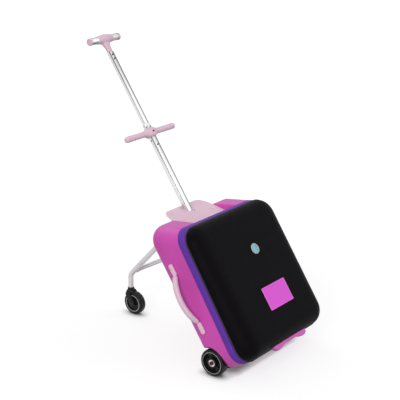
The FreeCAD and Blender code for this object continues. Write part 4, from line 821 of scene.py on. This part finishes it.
# %% Fork
CHEEK_TOP, CHEEK_FOOT = ((0, 55.5), 8.6), ((-13, 31.0), 9.0)
CHEEK_IN, CHEEK_OUT, CHEEK_EDGE = 10.7, 14.2, 1.0
BRIDGE_HALF, BRIDGE_TOP, BRIDGE_DROP, BRIDGE_WIDE, BRIDGE_THICK = 13.6, 65.2, 4.6, 0.0082, 0.0017
SWIVEL = np.array(joints["caster_swivel"]["pos_m"]) * [1, 1, 0]


def belt(first, first_radius, second, second_radius, steps=64):
    """Outline of a belt round two circles: for each direction, the circle that lies further out that way."""
    turn = round_turn(steps)
    way = np.stack([np.cos(turn), np.sin(turn)], -1)
    a, b = np.asarray(first) + first_radius * way, np.asarray(second) + second_radius * way
    return np.where(((a * way).sum(1) > (b * way).sum(1))[:, None], a, b)


def plate_between(outline, start, end, edge):
    """A plate of that outline between two places across, its edges drawn in at both faces."""
    middle = outline.mean(0)
    size = np.abs(outline - middle).max()
    face, shoulder = 1 - 2.2 * edge / size, 1 - 0.6 * edge / size
    shrink = np.array([0, face, shoulder, 1, 1, shoulder, face, 0])
    inward = np.array([0, 0, 0.35 * edge, edge, -edge, -0.35 * edge, 0, 0])
    across = np.array([start] * 4 + [end] * 4) + inward
    flat = middle + (outline - middle) * shrink[:, None, None]
    return np.concatenate([np.broadcast_to(across[:, None, None], flat.shape[:2] + (1,)), flat], -1)


def upright(height, reach):
    """Turns a profile about the swivel's upright line."""
    turn, reach, height = round_turn(48), np.array(reach)[:, None], np.array(height)[:, None]
    return SWIVEL + np.stack([reach * np.cos(turn), reach * np.sin(turn), height + 0 * turn], -1) / 1000


cheek = belt(*CHEEK_TOP, *CHEEK_FOOT)
spans = (-CHEEK_OUT, -CHEEK_IN), (CHEEK_IN, CHEEK_OUT)
cheeks = [SWIVEL + plate_between(cheek, *span, CHEEK_EDGE) / 1000 for span in spans]
bridge_x = np.linspace(-BRIDGE_HALF, BRIDGE_HALF, 40)
bridge_z = BRIDGE_TOP - BRIDGE_DROP * (bridge_x / BRIDGE_HALF) ** 4
bridge = SWIVEL + np.stack([bridge_x, 0 * bridge_x, bridge_z], -1) / 1000
tapered = np.sqrt(np.clip(1 - (bridge_x / (BRIDGE_HALF + 0.1)) ** 8, 0.02, 1))
level, rising = [np.tile(way, (len(bridge_x), 1)) for way in ([0, 1.0, 0], [0, 0, 1.0])]
arch = carried(bridge, level, rising, BRIDGE_WIDE * tapered, BRIDGE_THICK * tapered)
crown = upright([63.6, 63.6, 64.2, 66.2, 66.9, 66.9], [0, 9.0, 9.6, 9.4, 8.8, 0])
make_piece("swivel_fork", cheeks + [arch, crown], soft_black, "caster_fork", ["caster_fork"])
socket = upright([67.4, 68.0, 70.0, 72.6, 73.2, 73.2, 67.4], [8.6, 9.0, 8.7, 8.3, 7.9, 7.1, 7.1])
make_piece("leg_socket", [], soft_black, "arm", ["stem_collar"], rings=[socket])

# %% [markdown]
# ## The front foot
# When the case is stood upright, it rests on a magenta foot under the cover. The foot is a strip with a
# straight top and a lobe at each end. A squared-off oval is carried across the case; its lowest line is an
# arch between the lobes and a quarter circle at both ends.

# %% Foot
FOOT_HALF, FOOT_END, FOOT_TOP, FOOT_REACH, FOOT_DEEP = 68.0, 8.0, -26.0, 101.0, 7.0
LOBE_RADIUS, ARCH_LEVEL, ARCH_DROP = 15.0, -35.0, 6.0
across = rounded_span(FOOT_HALF, FOOT_END, 14, 80)
off = np.abs(across)
outer = np.clip(off - FOOT_HALF + LOBE_RADIUS, 0, LOBE_RADIUS)
lobe = FOOT_TOP - np.sqrt(LOBE_RADIUS ** 2 - outer ** 2)
bottom = np.where(outer > 0, lobe, ARCH_LEVEL - ARCH_DROP * smooth_step(off, 20, 52))
deep = FOOT_DEEP * np.clip((FOOT_HALF + 0.3 - off) / 5, 0, 1) ** 0.4
middle, tall = (bottom + FOOT_TOP) / 2, np.maximum(FOOT_TOP - bottom, 0.6) / 2
turn = round_turn(56)
reach = FOOT_REACH + deep[:, None] * squared(np.cos(turn), 0.45)
foot = mouth_place(FACE_SHIFT + across[:, None] + 0 * turn, reach,
                   middle[:, None] + tall[:, None] * squared(np.sin(turn), 0.45))
make_piece("stand_foot", [capped(foot)], foot_magenta, "cover", ["front_foot"])

# %% [markdown]
# ## Patch and badge
# The real case carries a sewn patch and a round badge. Here they stay plain: a patch with a raised hem and
# a row of stitches, and a domed teal disc in a pale ring. The patch is a set of shrinking rectangles that
# rise over the hem and then dip.

# %% Patch with its stitches
PATCH_HALF, PATCH_TALL, PATCH_RISE, PATCH_CORNER, PATCH_LIFT = 47.0, 29.0, 81.0, 2.0, 0.2
HEM_INSET, HEM_CORNER, HEM_LIFT, HEM_SIZE = 1.6, 1.2, 1.45, (0.0011, 0.00035, 0.00028)


def patch_loop(inset, radius, corner, straight):
    """The patch's outline, drawn in all round."""
    low, high = PATCH_RISE - PATCH_TALL + inset, PATCH_RISE + PATCH_TALL - inset
    return rounded_loop(PATCH_HALF - inset, low, high, radius, corner, straight)


from_edge = np.array([0.0, 0.0, 0.25, 0.6, 1.4, 2.2, 3.0, 4.0, 9.0, 20.0, 29.0])
height = np.array([0.0, 0.55, 0.95, 1.15, 1.25, 1.1, 0.85, 0.8, 0.8, 0.8, 0.8])
loop = patch_loop(from_edge, np.clip(PATCH_CORNER - from_edge * 0.5, 0.02, None), 5, 12)
patch = face_place(FACE_SHIFT + loop[..., 0], PATCH_LIFT + height[:, None], loop[..., 1])
under = face_place(FACE_SHIFT, PATCH_LIFT, PATCH_RISE) + 0 * patch[:1]
patch = np.r_[under, patch]
plain_patch = make_piece("plain_patch", [patch], patch_cloth, "cover", ["label_patch"])
edge = patch_loop(HEM_INSET, HEM_CORNER, 3, 24)
step = np.roll(edge, -1, 0) - edge
keep = np.linalg.norm(step, axis=1) > 1.0
spot, step = (edge + step / 2)[keep], step[keep]
origin = face_place(0.0, 0.0, 0.0)
run = unit(face_place(step[:, 0], 0.0, step[:, 1]) - origin)
fore = np.broadcast_to(face_place(0.0, 1.0, 0.0) - origin, run.shape) * 1000
hem_place = face_place(FACE_SHIFT + spot[:, 0], HEM_LIFT, spot[:, 1])
hem = beads(hem_place, run, np.cross(fore, run), fore, HEM_SIZE, power=0.9)
make_piece("patch_stitches", hem, thread_pale, "cover")

# %% [markdown]
# The badge is a turned profile on the cover's face; its ring and its dome have different finishes.

# %% Badge
BADGE_RISE = 203.0
ring_radius = np.array([0, 12.9, 13.4, 13.4, 12.6, 11.6, 11.2, 10.8, 8, 4, 0])[:, None]
ring_lift = np.array([0.2, 0.2, 0.6, 1.5, 2.1, 2.0, 1.4, 1.35, 1.7, 1.95, 2.0])[:, None]
turn = round_turn(72)
disc = face_place(FACE_SHIFT + ring_radius * np.cos(turn), ring_lift + 0 * turn,
                  BADGE_RISE + ring_radius * np.sin(turn))
dome = np.r_[disc[7:], disc[7:8] * 0 + disc[0, 0]]
make_piece("badge_ring", [disc[:8]], ring_grey, "cover", ["badge_disc"])
make_piece("badge_dome", [dome], badge_teal, "cover")

# %% [markdown]
# ## Studio
# The photograph is a plain cut-out on white with soft shadows under the wheels. The floor mixes a lit matt
# surface with white that only the camera and reflections see, dimmed where something stands close above it,
# so it stays pale and still holds a shadow; further out it turns all white. Three large soft lamps and an
# even sky light the object at a plain level.

# %% Floor, sky and lamps
FLOOR_HALF, WHITE = 9.0, (1, 1, 1, 1)
scene = bpy.context.scene


def seen_white(tree):
    """One where a ray comes from the camera, a reflection or a transmission, and zero for lighting rays."""
    path = add(tree, "LightPath", {}).node.outputs
    both = add(tree, "Math", {0: path["Is Camera Ray"], 1: path["Is Glossy Ray"]}, operation="MAXIMUM")
    return add(tree, "Math", {0: both, 1: path["Is Transmission Ray"]}, operation="MAXIMUM")


floor_mesh = bpy.data.meshes.new("studio_floor")
floor_mesh.from_pydata(np.c_[(2 * QUAD - 1) * FLOOR_HALF, np.zeros(4)].tolist(), [], [(0, 1, 2, 3)])
floor = put("studio_floor", floor_mesh)
floor_finish, tree, shader = start_finish("floor_white")
feed(tree, shader, {"Base Color": (0.96, 0.96, 0.96, 1), "Roughness": 0.9})
# Painted contact shadow: the white glow dims by ambient occlusion where something stands close above the
# floor.
near = add(tree, "AmbientOcclusion", {"Distance": 0.027}, "AO", samples=16)
shown = {0: seen_white(tree), 1: ranged(tree, near, 0.35, 0.95, 0.0, 1.15)}
glow = add(tree, "Emission", {"Color": WHITE, "Strength": add(tree, "Math", shown, operation="MULTIPLY")})
far = add(tree, "VectorMath", {0: add(tree, "TexCoord", {}, "Object")}, "Value", operation="LENGTH")
mix = add(tree, "MixShader", {0: ranged(tree, far, 0.5, 1.5, 0.6, 1.0), 1: shader.outputs[0], 2: glow})
feed(tree, tree.nodes["Material Output"], {"Surface": mix})
floor_mesh.materials.append(floor_finish)

world = bpy.data.worlds.new("studio_sky")
world.use_nodes = True
scene.world = world
sky = world.node_tree
lit = sky.nodes["Background"]
feed(sky, lit, {"Color": WHITE, "Strength": 0.5})
shown = add(sky, "Background", {"Color": WHITE, "Strength": 1.0})
blend = add(sky, "MixShader", {0: seen_white(sky), 1: lit.outputs[0], 2: shown})
feed(sky, sky.nodes["World Output"], {"Surface": blend})


def lamp(name, place, target, size, power):
    """A square soft lamp at a place, turned to face a target."""
    light = bpy.data.lights.new(name, "AREA")
    light.size, light.energy = size, power
    item = put(name, light)
    item.location = place
    x, y, z = np.asarray(target) - np.asarray(place)
    item.rotation_euler = (atan2(hypot(x, y), -z), 0, atan2(y, x) - pi / 2)


lamp("key", (-2.7, -1.3, 1.5), (0, -0.1, 0.3), 1.8, 52)
lamp("fill", (1.6, -2.2, 2.0), (0, -0.1, 0.3), 2.4, 22)
lamp("back", (0.6, 2.4, 2.2), (0, 0, 0.4), 2.0, 18)
scene.view_settings.view_transform = "Standard"
print("floor, sky and lamps ready")

# %% [markdown]
# ## Camera
# A perspective camera was fitted to points read from the photograph: it looks from the front left, a little
# from above, with a long lens. Its three axes are written as columns of a matrix.

# %% Camera
CAMERA_FROM_AXLE = np.array([-2.04142, -1.43264, 1.19911])
turn, tip = radians(-52.0), radians(18.5)
toward = np.array([sin(turn) * cos(tip), -cos(turn) * cos(tip), sin(tip)])
right = np.array([cos(turn), sin(turn), 0])
above = np.cross(toward, right)
view = bpy.data.cameras.new("photo_view")
view.lens, view.sensor_width = 99.38, 36.0
camera = put("photo_view", view)
spot = AXLE + CAMERA_FROM_AXLE
columns = np.stack([right, above, toward, spot], 1)
camera.matrix_world = Matrix(columns.tolist() + [[0, 0, 0, 1]])
scene.camera = camera
print("camera at", spot.round(3).tolist())
